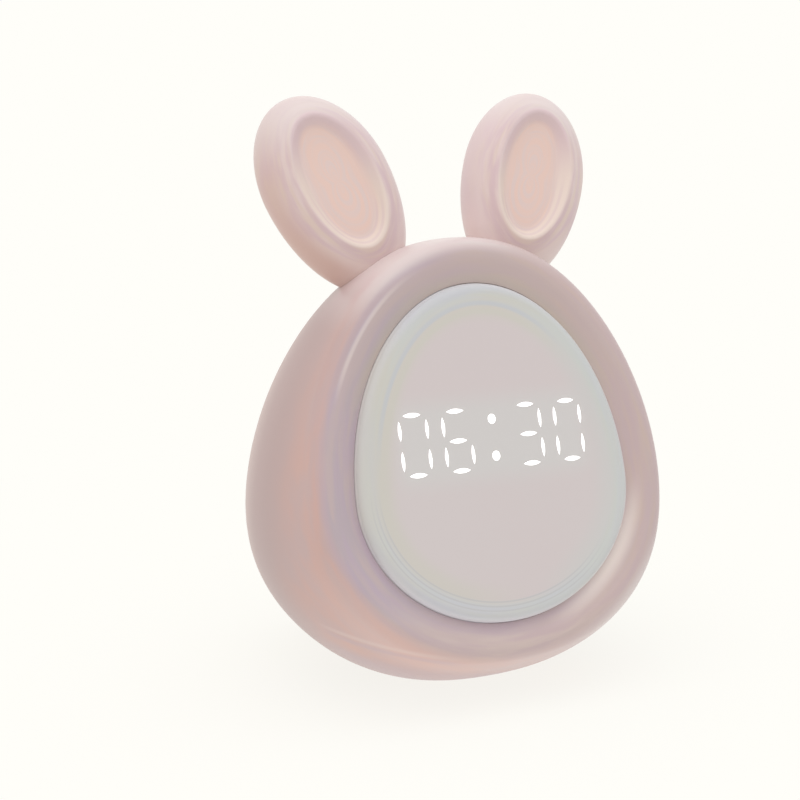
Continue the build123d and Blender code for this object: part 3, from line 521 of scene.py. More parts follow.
EAR_ZONES = {
    "front": ("Ahead", 0.0005, 0.0045),
    "behind": ("Ahead", 0.0, -0.005),
    "inner_side": ("Across", -0.003, -0.01),
    "root": ("Up", -0.006, -0.019),
    "tip": ("Up", 0.006, 0.018),
    "lower": ("Up", 0.016, -0.01),
    "left_side": ("Side", -0.016, -0.026),
    "round_dish": ("Off", 0.001, 0.006),
    "rim": ("Off", 0.006, 0.001),
    "wall": ("Off", 0.0008, 0.0),
    "upper_wall": ("Lean", -0.004, 0.01),
    "lower_wall": ("Lean", 0.0, -0.008),
    "floor": ("Off", -0.001, -0.0034),
    "ring": ("Wave", -0.6, 1.0),
    "ring_stretch": ("Off", -0.0034, -0.0026, -0.0008, -0.0002),
}


def ear_paint(settings):
    """Satin ear paint: paler rims and tips, salmon dishes, painted shade on the upper walls, painted light
    on the lower walls, roots and inner sides.
    """
    material, tree, inputs = new_material("satin_ears", SATIN_ROUGHNESS, **SATIN)
    ear = use_group(tree, DISH)
    flow = ear["Flow"]
    measures = {
        **about_oval(ear),
        "Side": dot(tree, object_place(tree), (1, 0, 0)),
        "Lean": maths(tree, "MULTIPLY_ADD", ear["Across"], WALL_LEAN, ear["Up"]),
        "Wave": waves(tree, ear["Off"], settings.ring_spacing),
    }
    zone = zone_masks(tree, measures, EAR_ZONES)
    painted = pearl(tree, flow, settings, settings.ear_colour, settings.ear_warm, settings.ear_cool)
    # A cooler tone on the inner sides, and both they and the roots are paler: painted light where shade
    # falls
    painted = tone(tree, painted, settings.ear_inner_cool_and_painted_light, zone.inner_side, share=0.8)
    painted = tone(tree, painted, settings.ear_root_painted_light, zone.root)
    # Painted shade low on the left ear's outer side; the same tone also streaks the ears' backs
    painted = tone(tree, painted, settings.ear_low_tone_and_painted_shade, zone.lower, zone.left_side, zone.round_dish)
    tones = (settings.ear_colour, settings.ear_low_tone_and_painted_shade, settings.ear_rim)
    plain = clouded(tree, *tones, amount=0.4, scale=60.0)
    painted = tone(tree, painted, plain, zone.behind)
    rim = pearl(tree, flow, settings, settings.ear_rim, settings.ear_warm, settings.ear_cool)
    painted = tone(tree, painted, rim, zone.rim, zone.front)
    painted = tone(tree, painted, settings.ear_tip, zone.tip, share=0.6)
    # Painted shade on the dish's upper and inner wall, painted light on its lower and outer wall
    wall = blend(tree, zone.upper_wall, settings.wall_painted_light, settings.wall_shade)
    painted = tone(tree, painted, wall, zone.wall, zone.front)
    floor = pearl(tree, flow, settings, settings.ear_floor, settings.ear_floor, settings.ear_rim)
    painted = tone(tree, painted, floor, zone.floor, zone.front)
    rings = all_of(tree, zone.ring, zone.lower_wall, zone.front, zone.ring_stretch)
    painted = tone(tree, painted, settings.ear_cool, rings, share=0.3)
    feed(tree, inputs["Base Color"], painted)
    add_relief(tree, inputs, grain_height(tree, FINE_GRAIN), strength=0.03)
    return material


# The patch behind the digits that the haze surrounds
HAZE_HALF_WIDTH = 0.018
HAZE_HALF_HEIGHT = 0.005
# How much the fine lines' lower stretch and the trim's upper one lean to a side
LINE_LEAN = 0.3
TRIM_LEAN = -0.5

PANEL_ZONES = {
    "haze": ("Away", 0.006, 0.0),
    "left_half": ("Across", 0.006, -0.016),
    "top": ("Up", 0.02, 0.034),
    "tinge": ("Off", -0.009, -0.0055, -0.004, -0.0022),
    "edge": ("Off", -0.005, -0.003),
    "contact": ("Off", -0.0028, -0.0008),
    "right": ("Across", 0.004, 0.018),
    "right_margin": ("Off", -0.01, -0.004),
    "left": ("Across", -0.014, -0.024),
    "left_high": ("Up", -0.014, -0.002),
    "left_margin": ("Off", -0.0075, -0.0045),
    "high": ("High", 0.016, 0.032),
    "trim": ("Off", -0.0052, -0.0047, -0.0044, -0.0036),
    "cream": ("Off", -0.0072, -0.0064, -0.006, -0.0053),
    "low": ("Low", -0.004, -0.018),
    "line": ("Wave", 0.0, 1.0),
    "line_stretch": ("Off", -0.0052, -0.0042, -0.0026, -0.0018),
    # Where the painted glow lies along the panel's edge
    "glow_right": ("Across", -0.012, 0.008),
    "glow_low": ("Up", -0.006, -0.018),
    "glow_edge": ("Off", -0.0014, -0.0002),
    "sunk_edge": ("Ahead", -0.002, -0.0028),
}


def panel_measures(tree, window, settings):
    """What the panel's zones are measured along."""
    across, up = window["Across"], window["Up"]
    beside = past(tree, across, HAZE_HALF_WIDTH)
    over = past(tree, maths(tree, "SUBTRACT", up, settings.digit_rise), HAZE_HALF_HEIGHT)
    return {
        **about_oval(window),
        "Away": hypotenuse(tree, beside, over),
        "High": maths(tree, "MULTIPLY_ADD", across, TRIM_LEAN, up),
        "Low": maths(tree, "MULTIPLY_ADD", across, LINE_LEAN, up),
        "Wave": waves(tree, window["Off"], settings.line_spacing),
    }


def panel_finish(settings):
    """Milky display panel: pinkish white, a cooler rolled edge, a faint haze round the digits, and a
    painted glow at its lower right and sunk edge.
    """
    material, tree, inputs = new_material("milky_panel", roughness=0.32, Emission_Strength=0.12)
    window = use_group(tree, WINDOW)
    zone = zone_masks(tree, panel_measures(tree, window, settings), PANEL_ZONES)
    tones = (settings.panel_colour, settings.panel_colour, settings.haze_colour)
    milky = clouded(tree, *tones, amount=0.15, scale=28.0)
    milky = tone(tree, milky, settings.haze_colour, zone.haze, share=0.7)
    upper_left = any_of(tree, zone.left_half, zone.top)
    milky = tone(tree, milky, settings.edge_warm, zone.tinge, upper_left, share=0.75)
    tones = (settings.edge_colour, settings.edge_warm, settings.edge_cool)
    milky = tone(tree, milky, pearl(tree, window["Flow"], settings, *tones), zone.edge)
    milky = tone(tree, milky, settings.edge_cool, zone.contact, share=0.6)
    milky = tone(tree, milky, settings.edge_colour, zone.right_margin, zone.right, share=0.6)
    left = all_of(tree, zone.left_margin, zone.left, zone.left_high)
    milky = tone(tree, milky, settings.edge_warm, left, share=0.6)
    milky = tone(tree, milky, settings.trim_colour, zone.trim, zone.high, share=0.6)
    milky = tone(tree, milky, settings.edge_warm, zone.cream, zone.high, share=0.6)
    lines = all_of(tree, zone.line, zone.line_stretch, zone.low)
    milky = tone(tree, milky, settings.line_colour, lines, share=0.7)
    # Painted glow along the panel's lower right edge and down its sunk edge
    painted_edge_glow = all_of(tree, zone.glow_edge, any_of(tree, zone.glow_right, zone.glow_low))
    glow = blend(tree, any_of(tree, painted_edge_glow, zone.sunk_edge), (0, 0, 0), settings.painted_glow_colour)
    feed(tree, inputs["Emission Color"], glow)
    feed(tree, inputs["Base Color"], milky)
    add_relief(tree, inputs, grain_height(tree, PANEL_GRAIN), strength=0.02)
    return material


def paint(material, *nodes):
    """Give CAD nodes their finish."""
    for node in nodes:
        mesh = NODES[node].data
        mesh.materials.clear()
        mesh.materials.append(material)


# ---- settings


def colour(name, description, default):
    """A colour setting."""
    return bpy.props.FloatVectorProperty(
        name=name, description=description, subtype="COLOR", size=3, min=0, max=1, default=default
    )


def length(name, description, default):
    """A length setting."""
    return bpy.props.FloatProperty(
        name=name, description=description, subtype="DISTANCE", unit="LENGTH", min=0, default=default
    )


def factor(name, description, default):
    """A setting between 0 and 1."""
    return bpy.props.FloatProperty(
        name=name, description=description, subtype="FACTOR", min=0, max=1, default=default
    )


def fineness(name, description, default):
    """A pattern's scale setting."""
    return bpy.props.FloatProperty(name=name, description=description, min=1, max=5000, default=default)


class ClockShellSettings(bpy.types.PropertyGroup):
    shell_colour: colour("Shell colour", "Satin paint of the housing", (0.65, 0.43, 0.395))
    shell_warm: colour("Shell warm tone", "Warmer streaks in the housing", (0.67, 0.43, 0.375))
    shell_cool: colour("Shell cool tone", "Cooler streaks in the housing", (0.58, 0.44, 0.44))
    # Painted highlight: the pale tone lights the crown, the crest and the lower right front; blush and
    # rose streak it
    shell_painted_light: colour("Shell pale tone", "Crown of the head and the lit crest", (0.73, 0.625, 0.615))
    shell_blush: colour("Shell blush", "Pinker streaks in the crown", (0.72, 0.55, 0.56))
    shell_rose: colour("Shell rose", "Low stretch of the crest on the left", (0.8, 0.57, 0.525))
    # Painted highlight: light lines on the crest and under the belly, and the slope's lower right corner
    crest_painted_highlight: colour("Crest light", "Fine light lines, and the slope's lit corner", (0.86, 0.755, 0.71))
    # Painted shade: a line just outside the crest, and along the base
    line_and_base_painted_shade: colour("Crest shade", "Fine line by the crest, and the base", (0.53, 0.4, 0.43))
    # Painted shade along the sides toward the back
    shell_shade: colour("Shell shade", "Deeper rose along the sides", (0.482, 0.343, 0.335))
    shell_back: colour("Shell back", "Back half of the housing", (0.59, 0.44, 0.415))
    dish_colour: colour("Dish colour", "Slope from crest to panel", (0.52, 0.43, 0.47))
    dish_rose: colour("Dish rose tone", "The slope at the top and right", (0.59, 0.465, 0.455))
    dish_warm: colour("Dish warm tone", "Creamy streaks in the slope", (0.56, 0.48, 0.415))
    # Mauve streaks in the slope; the same tone paints shade by the panel's lower edge and in the fold
    # under the belly
    dish_cool_and_painted_shade: colour("Dish cool tone", "Mauve streaks in the slope", (0.53, 0.415, 0.5))
    rose_warm: colour("Rose warm tone", "Brownish streaks in the right slope", (0.62, 0.475, 0.415))
    rose_cool: colour("Rose cool tone", "Pinkish streaks in the right slope", (0.58, 0.44, 0.465))
    # Painted light on the slope under the panel
    dish_painted_light: colour("Dish pale tone", "Slope under the panel", (0.66, 0.53, 0.5))
    seam_colour: colour("Seam colour", "Shade in the parting line", (0.33, 0.23, 0.215))
    seam_width: length("Seam width", "Half the width of the parting line", 0.00016)
    drift_amount: factor("Drift", "Strength of the streaks", 0.65)
    drift_scale: fineness("Drift scale", "Fineness of the streaks", 650)


class ClockEarSettings(bpy.types.PropertyGroup):
    ear_colour: colour("Ear colour", "Satin paint of the ears", (0.715, 0.53, 0.51))
    ear_warm: colour("Ear warm tone", "Creamy streaks in the ears", (0.76, 0.6, 0.52))
    ear_cool: colour("Ear cool tone", "Mauve streaks in the ears", (0.69, 0.5, 0.545))
    ear_rim: colour("Ear rim", "Paler paint round the dish", (0.8, 0.645, 0.625))
    ear_tip: colour("Ear tip", "Paler paint toward the tips", (0.8, 0.71, 0.7))
    # Cooler tone on the inner sides, made paler as painted light
    ear_inner_cool_and_painted_light: colour("Ear inner side", "Cooler paint on the inner sides", (0.78, 0.64, 0.65))
    # Painted light where the ears meet the head
    ear_root_painted_light: colour("Ear root", "Paler paint by the head", (0.9, 0.75, 0.72))
    # Painted shade low on the left ear's outer side, also a streak tone on the backs
    ear_low_tone_and_painted_shade: colour("Ear outer side", "Deeper paint low on the outer side", (0.69, 0.475, 0.42))
    ear_floor: colour("Ear dish", "Floor of the dish", (0.86, 0.63, 0.56))
    # Painted light on the lower and outer wall of the dish
    wall_painted_light: colour("Lower wall", "Lower and outer wall of the dish", (0.85, 0.71, 0.64))
    # Painted shade on the upper and inner wall of the dish
    wall_shade: colour("Upper wall", "Upper and inner wall of the dish", (0.77, 0.6, 0.62))
    ring_spacing: length("Ring spacing", "Between the arcs in the lower wall", 0.0013)
    drift_amount: factor("Drift", "Strength of the streaks", 0.7)
    drift_scale: fineness("Drift scale", "Fineness of the streaks", 800)


class ClockPanelSettings(bpy.types.PropertyGroup):
    panel_colour: colour("Panel colour", "Milky display panel", (0.698, 0.622, 0.625))
    haze_colour: colour("Haze colour", "Panel behind the digits", (0.69, 0.68, 0.67))
    edge_colour: colour("Edge colour", "Rolled edge of the panel", (0.64, 0.655, 0.64))
    edge_warm: colour("Edge warm tone", "Creamy streaks by the rolled edge", (0.66, 0.635, 0.575))
    edge_cool: colour("Edge cool tone", "Lavender streaks in the rolled edge", (0.62, 0.62, 0.68))
    trim_colour: colour("Trim colour", "Cool line inside the upper edge", (0.57, 0.6, 0.66))
    line_colour: colour("Line colour", "Fine lines inside the rolled edge", (0.56, 0.55, 0.56))
    line_spacing: length("Line spacing", "Between the fine lines", 0.0009)
    # Painted glow along the panel's lower right edge and its sunk edge
    painted_glow_colour: colour("Glow colour", "Light from the panel's edge", (1.0, 0.95, 0.94))
    drift_amount: factor("Drift", "Strength of the streaks", 0.7)
    drift_scale: fineness("Drift scale", "Fineness of the streaks", 420)
    digit_colour: colour("Digit colour", "Light of the digits", (1.0, 1.0, 0.995))
    digit_rise: length("Digit rise", "Digits' middle above the window's centre", 0.0102)
    digit_half_width: length("Digit half width", "From a digit's middle to its side strokes", 0.0029)
    digit_half_height: length("Digit half height", "From a digit's middle to its end strokes", 0.006)
    digit_pitch: length("Digit pitch", "Between the digits of a pair", 0.0093)
    digit_middle_gap: length("Middle gap", "Between the two inner digits", 0.0157)
    across_length: length("Level stroke length", "Length of a level stroke", 0.0038)
    upright_length: length("Upright stroke length", "Length of an upright stroke", 0.004)
    stroke_width: length("Level stroke width", "Width of a level stroke at its middle", 0.00095)
    upright_width: length("Upright stroke width", "Width of an upright stroke at its middle", 0.00068)
    stroke_height: length("Stroke height", "How far a stroke stands off the panel", 0.00008)
    colon_rise: length("Colon rise", "Each dot's distance from the digits' middle", 0.00375)
    colon_half_width: length("Colon dot half width", "Half the width of a dot", 0.00085)
    colon_half_height: length("Colon dot half height", "Half the height of a dot", 0.001)


class ClockMarkSettings(bpy.types.PropertyGroup):
    mark_colour: colour("Mark colour", "Signs on the buttons", (0.74, 0.64, 0.61))
    mark_drift: colour("Mark drift", "Slow drift of the signs' colour", (0.7, 0.6, 0.57))
    mark_size: length("Mark size", "Length of the plus and minus bars", 0.0026)
    mark_width: length("Mark width", "Width of a bar", 0.00046)
    mark_height: length("Mark height", "How far a sign stands off its button", 0.00006)


# ---- digits and signs

LIT_STROKES = {"0": "abcdef", "3": "abcdg", "6": "acdefg"}
SHOWN_TIME = (("hour_tens", "0"), ("hour_ones", "6"), ("minute_tens", "3"), ("minute_ones", "0"))
QUARTER_TURN = math.pi / 2

# A stroke's dome as rings: each one's share of the outline and of the height
DOME_RINGS = ((1.0, -0.5), (1.0, 0.0), (0.94, 0.55), (0.75, 0.9), (0.45, 1.0))

# A ring's section: each corner's share of the width, from its middle line, and of the height
RING_SECTION = ((-0.5, -0.5), (-0.5, 0.0), (-0.35, 0.8), (0.0, 1.0), (0.35, 0.8), (0.5, 0.0), (0.5, -0.5))

# The dial's and the sun's measures as shares of a sign's bars
RING_WIDTH_SHARE = 0.8
HAND_LENGTH_SHARE = 0.4
HAND_PLACE_SHARE = 0.16
SUN_RADIUS_SHARE = 0.26
RAY_COUNT = 8
RAY_LENGTH_SHARE = 0.22
RAY_WIDTH_SHARE = 0.8
RAY_PLACE_SHARE = 0.56


def panel_point(across, up, proud):
    """A point over the display panel's crowned front, a set distance off it."""
    depth = PANEL_INSET + (across**2 + up**2) / (2 * PANEL_CROWN_RADIUS)
    return FACE_CENTRE + Vector((across, 0, 0)) + FACE_UP * up + FACE_OUT * (proud - depth)


def button_front(button):
    """The place over a button's front for a distance across, up and off it, seen from behind."""
    low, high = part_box(button)
    middle = (low + high) / 2
    return lambda across, up, proud: Vector((middle.x - across, high.y + proud, middle.z + up))


def almond_outline(half_length, half_width, steps=10):
    """A pointed oval between two arcs, along X."""
    radius = (half_length**2 + half_width**2) / (2 * half_width)
    sweep = math.asin(half_length / radius)
    turns = [sweep * (2 * i / steps - 1) for i in range(steps + 1)]
    upper = [(radius * math.sin(turn), radius * math.cos(turn) - radius + half_width) for turn in turns]
    lower = [(-x, -y) for x, y in upper[1:-1]]
    return upper + lower


def capsule_outline(half_length, half_width, steps=8):
    """A bar with round ends, along X."""
    straight = half_length - half_width
    points = []
    for side in (1, -1):
        for i in range(steps + 1):
            turn = side * QUARTER_TURN - math.pi * i / steps
            points.append((side * straight + half_width * math.cos(turn), half_width * math.sin(turn)))
    return points


def oval_outline(half_width, half_height, steps=24):
    """An oval, for the colon's dots."""
    turns = [-2 * math.pi * i / steps for i in range(steps)]
    return [(half_width * math.cos(turn), half_height * math.sin(turn)) for turn in turns]


def add_stroke(mesh, surface, outline, centre, turn, height):
    """One softly domed stroke standing on a surface."""
    c, s = math.cos(turn), math.sin(turn)
    rings = []
    for share, lift in DOME_RINGS:
        ring = []
        for x, y in outline:
            across = centre[0] + share * (c * x - s * y)
            up = centre[1] + share * (s * x + c * y)
            ring.append(mesh.verts.new(surface(across, up, lift * height)))
        rings.append(ring)
    count = len(outline)
    for low, high in zip(rings, rings[1:]):
        for i in range(count):
            j = (i + 1) % count
            mesh.faces.new((low[j], low[i], high[i], high[j]))
    mesh.faces.new(rings[-1][::-1])
    mesh.faces.new(rings[0])


def add_ring(mesh, surface, radius, width, height, steps=40):
    """One softly domed ring standing on a surface."""
    turns = [2 * math.pi * i / steps for i in range(steps)]
    loops = []
    for share, lift in RING_SECTION:
        reach = radius + share * width
        points = [surface(reach * math.cos(turn), reach * math.sin(turn), lift * height) for turn in turns]
        loops.append([mesh.verts.new(point) for point in points])
    for first, second in zip(loops, loops[1:] + loops[:1]):
        for i in range(steps):
            j = (i + 1) % steps
            mesh.faces.new((first[i], first[j], second[j], second[i]))


def add_object(name, data):
    """A new object in the scene."""
    item = bpy.data.objects.new(name, data)
    bpy.context.scene.collection.objects.link(item)
    return item


def finish_mesh(mesh, name, material, body=BODY):
    """Turn a bmesh into a piece that rides on a body."""
    bmesh.ops.recalc_face_normals(mesh, faces=mesh.faces)
    data = bpy.data.meshes.new(name)
    mesh.to_mesh(data)
    mesh.free()
    data.materials.append(material)
    for face in data.polygons:
        face.use_smooth = True
    piece = add_object(name, data)
    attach(piece, body)


def stroke_places(settings, middle):
    """Each stroke's place, turn, length and width by its usual letter."""
    wide, tall = settings.digit_half_width, settings.digit_half_height
    across = (settings.across_length, settings.stroke_width)
    upright = (settings.upright_length, settings.upright_width)
    return {
        "a": ((middle, tall), 0, across),
        "b": ((middle + wide, tall / 2), QUARTER_TURN, upright),
        "c": ((middle + wide, -tall / 2), QUARTER_TURN, upright),
        "d": ((middle, -tall), 0, across),
        "e": ((middle - wide, -tall / 2), QUARTER_TURN, upright),
        "f": ((middle - wide, tall / 2), QUARTER_TURN, upright),
        "g": ((middle, 0), 0, across),
    }


def draw_digit(mesh, settings, figure, middle):
    """One digit's lit strokes on the panel."""
    for letter, (centre, turn, (size, width)) in stroke_places(settings, middle).items():
        if letter in LIT_STROKES[figure]:
            outline = almond_outline(size / 2, width / 2)
            centre = (centre[0], centre[1] + settings.digit_rise)
            add_stroke(mesh, panel_point, outline, centre, turn, settings.stroke_height)


def draw_colon(mesh, settings):
    """The colon's two dots on the panel."""
    outline = oval_outline(settings.colon_half_width, settings.colon_half_height)
    for rise in (settings.colon_rise, -settings.colon_rise):
        centre = (0.0, settings.digit_rise + rise)
        add_stroke(mesh, panel_point, outline, centre, 0.0, settings.stroke_height)


def draw_minus(mesh, surface, size, width, height, turns=(0.0,)):
    """A level bar, or one at each turn."""
    bar = capsule_outline(size / 2, width / 2)
    for turn in turns:
        add_stroke(mesh, surface, bar, (0.0, 0.0), turn, height)


def draw_plus(mesh, surface, size, width, height):
    """Two crossed bars."""
    draw_minus(mesh, surface, size, width, height, (0.0, QUARTER_TURN))


def draw_dial(mesh, surface, size, width, height):
    """A clock's dial with its two hands."""
    add_ring(mesh, surface, size / 2, width * RING_WIDTH_SHARE, height)
    hand = capsule_outline(size * HAND_LENGTH_SHARE / 2, width / 2)
    reach = size * HAND_PLACE_SHARE
    add_stroke(mesh, surface, hand, (0.0, reach), QUARTER_TURN, height)
    add_stroke(mesh, surface, hand, (reach, 0.0), 0.0, height)


def draw_sun(mesh, surface, size, width, height):
    """A ring with rays round it."""
    add_ring(mesh, surface, size * SUN_RADIUS_SHARE, width * RING_WIDTH_SHARE, height)
    ray = capsule_outline(size * RAY_LENGTH_SHARE / 2, width * RAY_WIDTH_SHARE / 2)
    reach = size * RAY_PLACE_SHARE
    for i in range(RAY_COUNT):
        turn = i * 2 * math.pi / RAY_COUNT
        add_stroke(mesh, surface, ray, (reach * math.cos(turn), reach * math.sin(turn)), turn, height)


SIGNS = {"down": draw_minus, "up": draw_plus, "mode": draw_dial, "light": draw_sun}


# ---- operators


class CLOCK_OT_finish_housing(bpy.types.Operator):
    """Gives the housing and its base pad their finish"""

    bl_idname = "clock.finish_housing"
    bl_label = "Finish housing"

    def execute(self, context):
        paint(shell_paint(context.scene.clock_shell), "main_shell", "rear_cover")
        paint(moulded("silicone_pad", (0.42, 0.33, 0.31), (0.38, 0.3, 0.29), rough=0.8), "base_pad")
        return {"FINISHED"}


class CLOCK_OT_finish_ears(bpy.types.Operator):
    """Gives the ears their paler satin"""

    bl_idname = "clock.finish_ears"
    bl_label = "Finish ears"

    def execute(self, context):
        paint(ear_paint(context.scene.clock_ears), "ear_left", "ear_right")
        return {"FINISHED"}


class CLOCK_OT_finish_panel(bpy.types.Operator):
    """Gives the display panel its milky finish"""

    bl_idname = "clock.finish_panel"
    bl_label = "Finish panel"

    def execute(self, context):
        paint(panel_finish(context.scene.clock_panel), "display_lens")
        return {"FINISHED"}


class CLOCK_OT_light_digits(bpy.types.Operator):
    """Lays the lit strokes of the time on the panel"""

    bl_idname = "clock.light_digits"
    bl_label = "Light digits"

    def execute(self, context):
        settings = context.scene.clock_panel
        material = lit_finish("lit_digit", settings.digit_colour, strength=1.0)
        inner = settings.digit_middle_gap / 2
        outer = inner + settings.digit_pitch
        for (name, figure), middle in zip(SHOWN_TIME, (-outer, -inner, inner, outer)):
            mesh = bmesh.new()
            draw_digit(mesh, settings, figure, middle)
            finish_mesh(mesh, name, material)
        mesh = bmesh.new()
        draw_colon(mesh, settings)
        finish_mesh(mesh, "colon_dots", material)
        return {"FINISHED"}


class CLOCK_OT_finish_display_stack(bpy.types.Operator):
    """Finishes the frame, diffuser, reflector, strokes and LEDs behind the panel"""

    bl_idname = "clock.finish_display_stack"
    bl_label = "Finish display stack"

    def execute(self, context):
        white = moulded("frame_plastic", (0.78, 0.78, 0.76), (0.74, 0.73, 0.71))
        paint(white, "light_box", "digit_reflector")
        paint(moulded("diffuser_sheet", (0.86, 0.86, 0.84), (0.82, 0.82, 0.8), rough=0.6), "diffuser")
        paint(lit_finish("lit_segment", (1.0, 1.0, 0.97), strength=0.6), "digit_segments")
        paint(moulded("unlit_segment", (0.62, 0.61, 0.58), (0.58, 0.57, 0.55)), "digit_segments_off")
        paint(moulded("led_body", (0.85, 0.83, 0.7), (0.8, 0.78, 0.62), rough=0.3), "night_leds")
        return {"FINISHED"}


class CLOCK_OT_finish_buttons(bpy.types.Operator):
    """Finishes the push buttons and their switches"""

    bl_idname = "clock.finish_buttons"
    bl_label = "Finish buttons"

    def execute(self, context):
        rose = moulded("button_rose", (0.6, 0.36, 0.34), (0.57, 0.36, 0.35), rough=0.5)
        black = moulded("switch_plastic", (0.03, 0.03, 0.032), (0.04, 0.04, 0.04), rough=0.5)
        paint(black, "tact_switches")
        for name in SIGNS:
            paint(rose, f"button_{name}")
            paint(black, f"switch_stem_{name}")
        return {"FINISHED"}


class CLOCK_OT_mark_buttons(bpy.types.Operator):
    """Raises a plain sign on each button: a sun, a dial, plus and minus"""

    bl_idname = "clock.mark_buttons"
    bl_label = "Mark buttons"

    def execute(self, context):
        settings = context.scene.clock_marks
        measures = (settings.mark_size, settings.mark_width, settings.mark_height)
        material = moulded("mark_print", settings.mark_colour, settings.mark_drift, rough=0.5)
        for name, draw_sign in SIGNS.items():
            mesh = bmesh.new()
            draw_sign(mesh, button_front(f"button_{name}"), *measures)
            finish_mesh(mesh, f"mark_{name}", material, f"{name}_key")
        return {"FINISHED"}


class CLOCK_OT_finish_electronics(bpy.types.Operator):
    """Finishes the boards, chips, socket, speaker, battery and wiring"""

    bl_idname = "clock.finish_electronics"
    bl_label = "Finish electronics"

    def execute(self, context):
        solder = moulded("solder_mask", (0.02, 0.17, 0.06), (0.03, 0.22, 0.08), scale=220.0, rough=0.35)
        paint(solder, "main_board", "display_board")
        paper = moulded("cone_paper", (0.035, 0.034, 0.033), (0.055, 0.053, 0.05), rough=0.85, bump=0.3)
        paint(paper, "speaker_cone")
        nickel = brushed_metal("magnet_nickel", (0.55, 0.54, 0.5), (0.48, 0.47, 0.44), rough=0.35)
        paint(nickel, "speaker_magnet")
        steel = brushed_metal("speaker_steel", (0.45, 0.45, 0.45), (0.38, 0.38, 0.38), rough=0.4)
        paint(steel, "speaker_frame")
        paint(brushed_metal("socket_steel", (0.62, 0.62, 0.61), (0.52, 0.52, 0.52)), "usb_socket")
        paint(brushed_metal("contact_brass", (0.72, 0.56, 0.28), (0.62, 0.47, 0.24)), "battery_contacts")
        paint(moulded("chip_epoxy", (0.02, 0.02, 0.02), (0.035, 0.035, 0.035), rough=0.55), "board_chips")
        paint(moulded("cell_wrap", (0.05, 0.3, 0.16), (0.04, 0.26, 0.14), rough=0.3), "battery_cell")
        paint(moulded("cradle_plastic", (0.03, 0.03, 0.03), (0.045, 0.045, 0.045)), "battery_cradle")
        paint(moulded("ribbon_sleeve", (0.72, 0.72, 0.7), (0.62, 0.62, 0.6)), "display_ribbon")
        paint(moulded("lead_sleeve", (0.45, 0.03, 0.02), (0.38, 0.03, 0.02)), "battery_leads")
        return {"FINISHED"}


class CLOCK_OT_finish_fasteners(bpy.types.Operator):
    """Finishes the screws"""

    bl_idname = "clock.finish_fasteners"
    bl_label = "Finish fasteners"

    def execute(self, context):
        steel = brushed_metal("screw_steel", (0.56, 0.56, 0.55), (0.46, 0.46, 0.46))
        paint(steel, "cover_screws", "ear_screws", "display_screws", "board_screws", "cradle_screws")
        return {"FINISHED"}


# ---- stage

BACKDROP = (1.0, 0.991, 0.947, 1.0)

TABLE_HALF_SIZE = 3.0
TABLE_COLOUR = (0.9, 0.89, 0.85, 1.0)
TABLE_FADE = (0.05, 0.2)
TABLE_GLOW = 0.84

SKY_LEFT = (1.0, 0.93, 0.89)
SKY_RIGHT = (0.9, 0.97, 1.0)
SKY_STRENGTH = 0.25
OVERHEAD_STRENGTH = 1.75
OVERHEAD_FOCUS = 2.0

LAMP_STRENGTH = 0.25
LAMP_SPREAD = math.radians(70)
LAMP_COLOUR = (1.0, 0.98, 0.96)
LAMP_WAY = Vector((0.35, 0.15, -0.92))

CAMERA_AIM = Vector((0, -0.00446, 0.0594))
CAMERA_AZIMUTH = math.radians(-24.0)
CAMERA_RISE = math.radians(12.07)
CAMERA_DISTANCE = 0.33977
CAMERA_LENS = 71.72
CAMERA_SHIFT = (-0.0627, -0.00655)
CAMERA_NEAR = 0.01


def aim(item, way):
    """Turn a lamp or a camera to face along a direction."""
    item.rotation_mode = "QUATERNION"
    item.rotation_quaternion = way.to_track_quat("-Z", "Y")


def make_floor():
    """A glowing white table that keeps a soft shadow of the clock and fades into the backdrop."""
    s = TABLE_HALF_SIZE
    data = bpy.data.meshes.new("floor")
    data.from_pydata([(-s, -s, 0), (s, -s, 0), (s, s, 0), (-s, s, 0)], [], [(0, 1, 2, 3)])
    material = bpy.data.materials.new("floor_white")
    tree = empty_tree(material)
    near = add_node(tree, "ShaderNodeBsdfDiffuse", Color=TABLE_COLOUR)
    far = add_node(tree, "ShaderNodeEmission", Color=BACKDROP, Strength=1.0)
    away = vector_maths(tree, "LENGTH", object_place(tree))["Value"]
    fade = ease(tree, away, *TABLE_FADE)
    out = add_node(tree, "ShaderNodeOutputMaterial")
    mix_shaders(tree, at_least(tree, fade, TABLE_GLOW), near, far, out)
    data.materials.append(material)
    floor = add_object("floor", data)


def make_world(scene):
    """Even soft light, brighter overhead, with a plain white backdrop for what looks at it."""
    world = bpy.data.worlds.new("studio")
    scene.world = world
    tree = empty_tree(world)
    white = add_node(tree, "ShaderNodeBackground", Color=BACKDROP, Strength=1.0)
    way = add_node(tree, "ShaderNodeTexCoord").outputs["Generated"]
    above = maths(tree, "MAXIMUM", dot(tree, way, (0, 0, 1)), 0.0)
    overhead = maths(tree, "POWER", above, OVERHEAD_FOCUS)
    side = maths(tree, "MULTIPLY_ADD", dot(tree, way, (1, 0, 0)), 0.5, 0.5)
    strength = maths(tree, "MULTIPLY_ADD", overhead, OVERHEAD_STRENGTH, SKY_STRENGTH)
    sky = blend(tree, side, SKY_LEFT, SKY_RIGHT)
    soft = add_node(tree, "ShaderNodeBackground", Color=sky, Strength=strength)
    ray = add_node(tree, "ShaderNodeLightPath").outputs
    seen = any_of(tree, ray["Is Camera Ray"], ray["Is Glossy Ray"], ray["Is Transmission Ray"])
    mix_shaders(tree, seen, soft, white, add_node(tree, "ShaderNodeOutputWorld"))


def make_lamp():
    """A wide soft lamp from above and to the left."""
    lamp = bpy.data.lights.new("key", "SUN")
    lamp.energy = LAMP_STRENGTH
    lamp.angle = LAMP_SPREAD
    lamp.color = LAMP_COLOUR
    aim(add_object("key", lamp), LAMP_WAY)


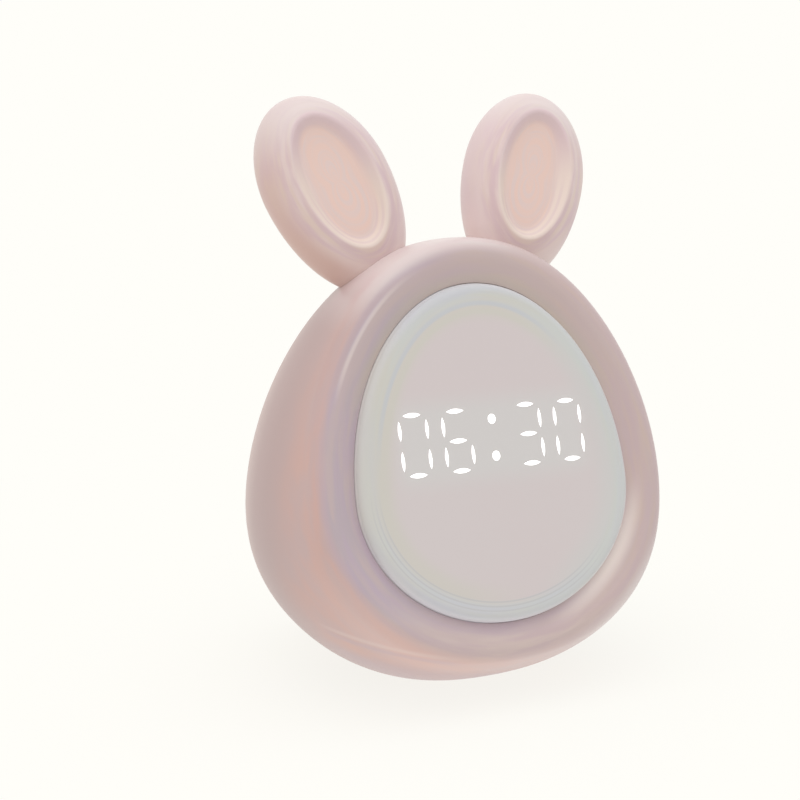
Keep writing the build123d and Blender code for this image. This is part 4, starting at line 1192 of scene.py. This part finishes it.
def make_camera(scene):
    """The camera, a little above the clock and to its left."""
    lens = bpy.data.cameras.new("camera")
    lens.lens = CAMERA_LENS
    lens.shift_x, lens.shift_y = CAMERA_SHIFT
    lens.clip_start = CAMERA_NEAR
    camera = add_object("camera", lens)
    level = math.cos(CAMERA_RISE)
    aside, ahead = math.sin(CAMERA_AZIMUTH) * level, math.cos(CAMERA_AZIMUTH) * level
    back = Vector((aside, -ahead, math.sin(CAMERA_RISE)))
    camera.location = CAMERA_AIM + back * CAMERA_DISTANCE
    aim(camera, -back)
    scene.camera = camera


class CLOCK_OT_set_stage(bpy.types.Operator):
    """Makes the pale floor, the soft lights and the camera"""

    bl_idname = "clock.set_stage"
    bl_label = "Set stage"

    def execute(self, context):
        scene = context.scene
        scene.view_settings.view_transform = "Standard"
        make_floor()
        make_world(scene)
        make_lamp()
        make_camera(scene)
        return {"FINISHED"}


# ---- panel and registration

OPERATORS = (
    CLOCK_OT_finish_housing,
    CLOCK_OT_finish_ears,
    CLOCK_OT_finish_panel,
    CLOCK_OT_light_digits,
    CLOCK_OT_finish_display_stack,
    CLOCK_OT_finish_buttons,
    CLOCK_OT_mark_buttons,
    CLOCK_OT_finish_electronics,
    CLOCK_OT_finish_fasteners,
    CLOCK_OT_set_stage,
)


class CLOCK_PT_pieces(bpy.types.Panel):
    """Lists the steps that dress the clock"""

    bl_idname = "CLOCK_PT_pieces"
    bl_label = "Bunny Alarm Clock"
    bl_space_type = "VIEW_3D"
    bl_region_type = "UI"
    bl_category = "Clock"

    def draw(self, context):
        for operator in OPERATORS:
            self.layout.operator(operator.bl_idname)


SETTINGS = {
    "clock_shell": ClockShellSettings,
    "clock_ears": ClockEarSettings,
    "clock_panel": ClockPanelSettings,
    "clock_marks": ClockMarkSettings,
}
CLASSES = (*SETTINGS.values(), *OPERATORS, CLOCK_PT_pieces)


def register():
    for item in CLASSES:
        bpy.utils.register_class(item)
    for name, group in SETTINGS.items():
        setattr(bpy.types.Scene, name, bpy.props.PointerProperty(type=group))


def unregister():
    for name in SETTINGS:
        delattr(bpy.types.Scene, name)
    for item in reversed(CLASSES):
        bpy.utils.unregister_class(item)


def main():
    register()
    bpy.ops.clock.finish_housing()
    bpy.ops.clock.finish_ears()
    bpy.ops.clock.finish_panel()
    bpy.ops.clock.light_digits()
    bpy.ops.clock.finish_display_stack()
    bpy.ops.clock.finish_buttons()
    bpy.ops.clock.mark_buttons()
    bpy.ops.clock.finish_electronics()
    bpy.ops.clock.finish_fasteners()
    bpy.ops.clock.set_stage()


if __name__ == "__main__":
    main()
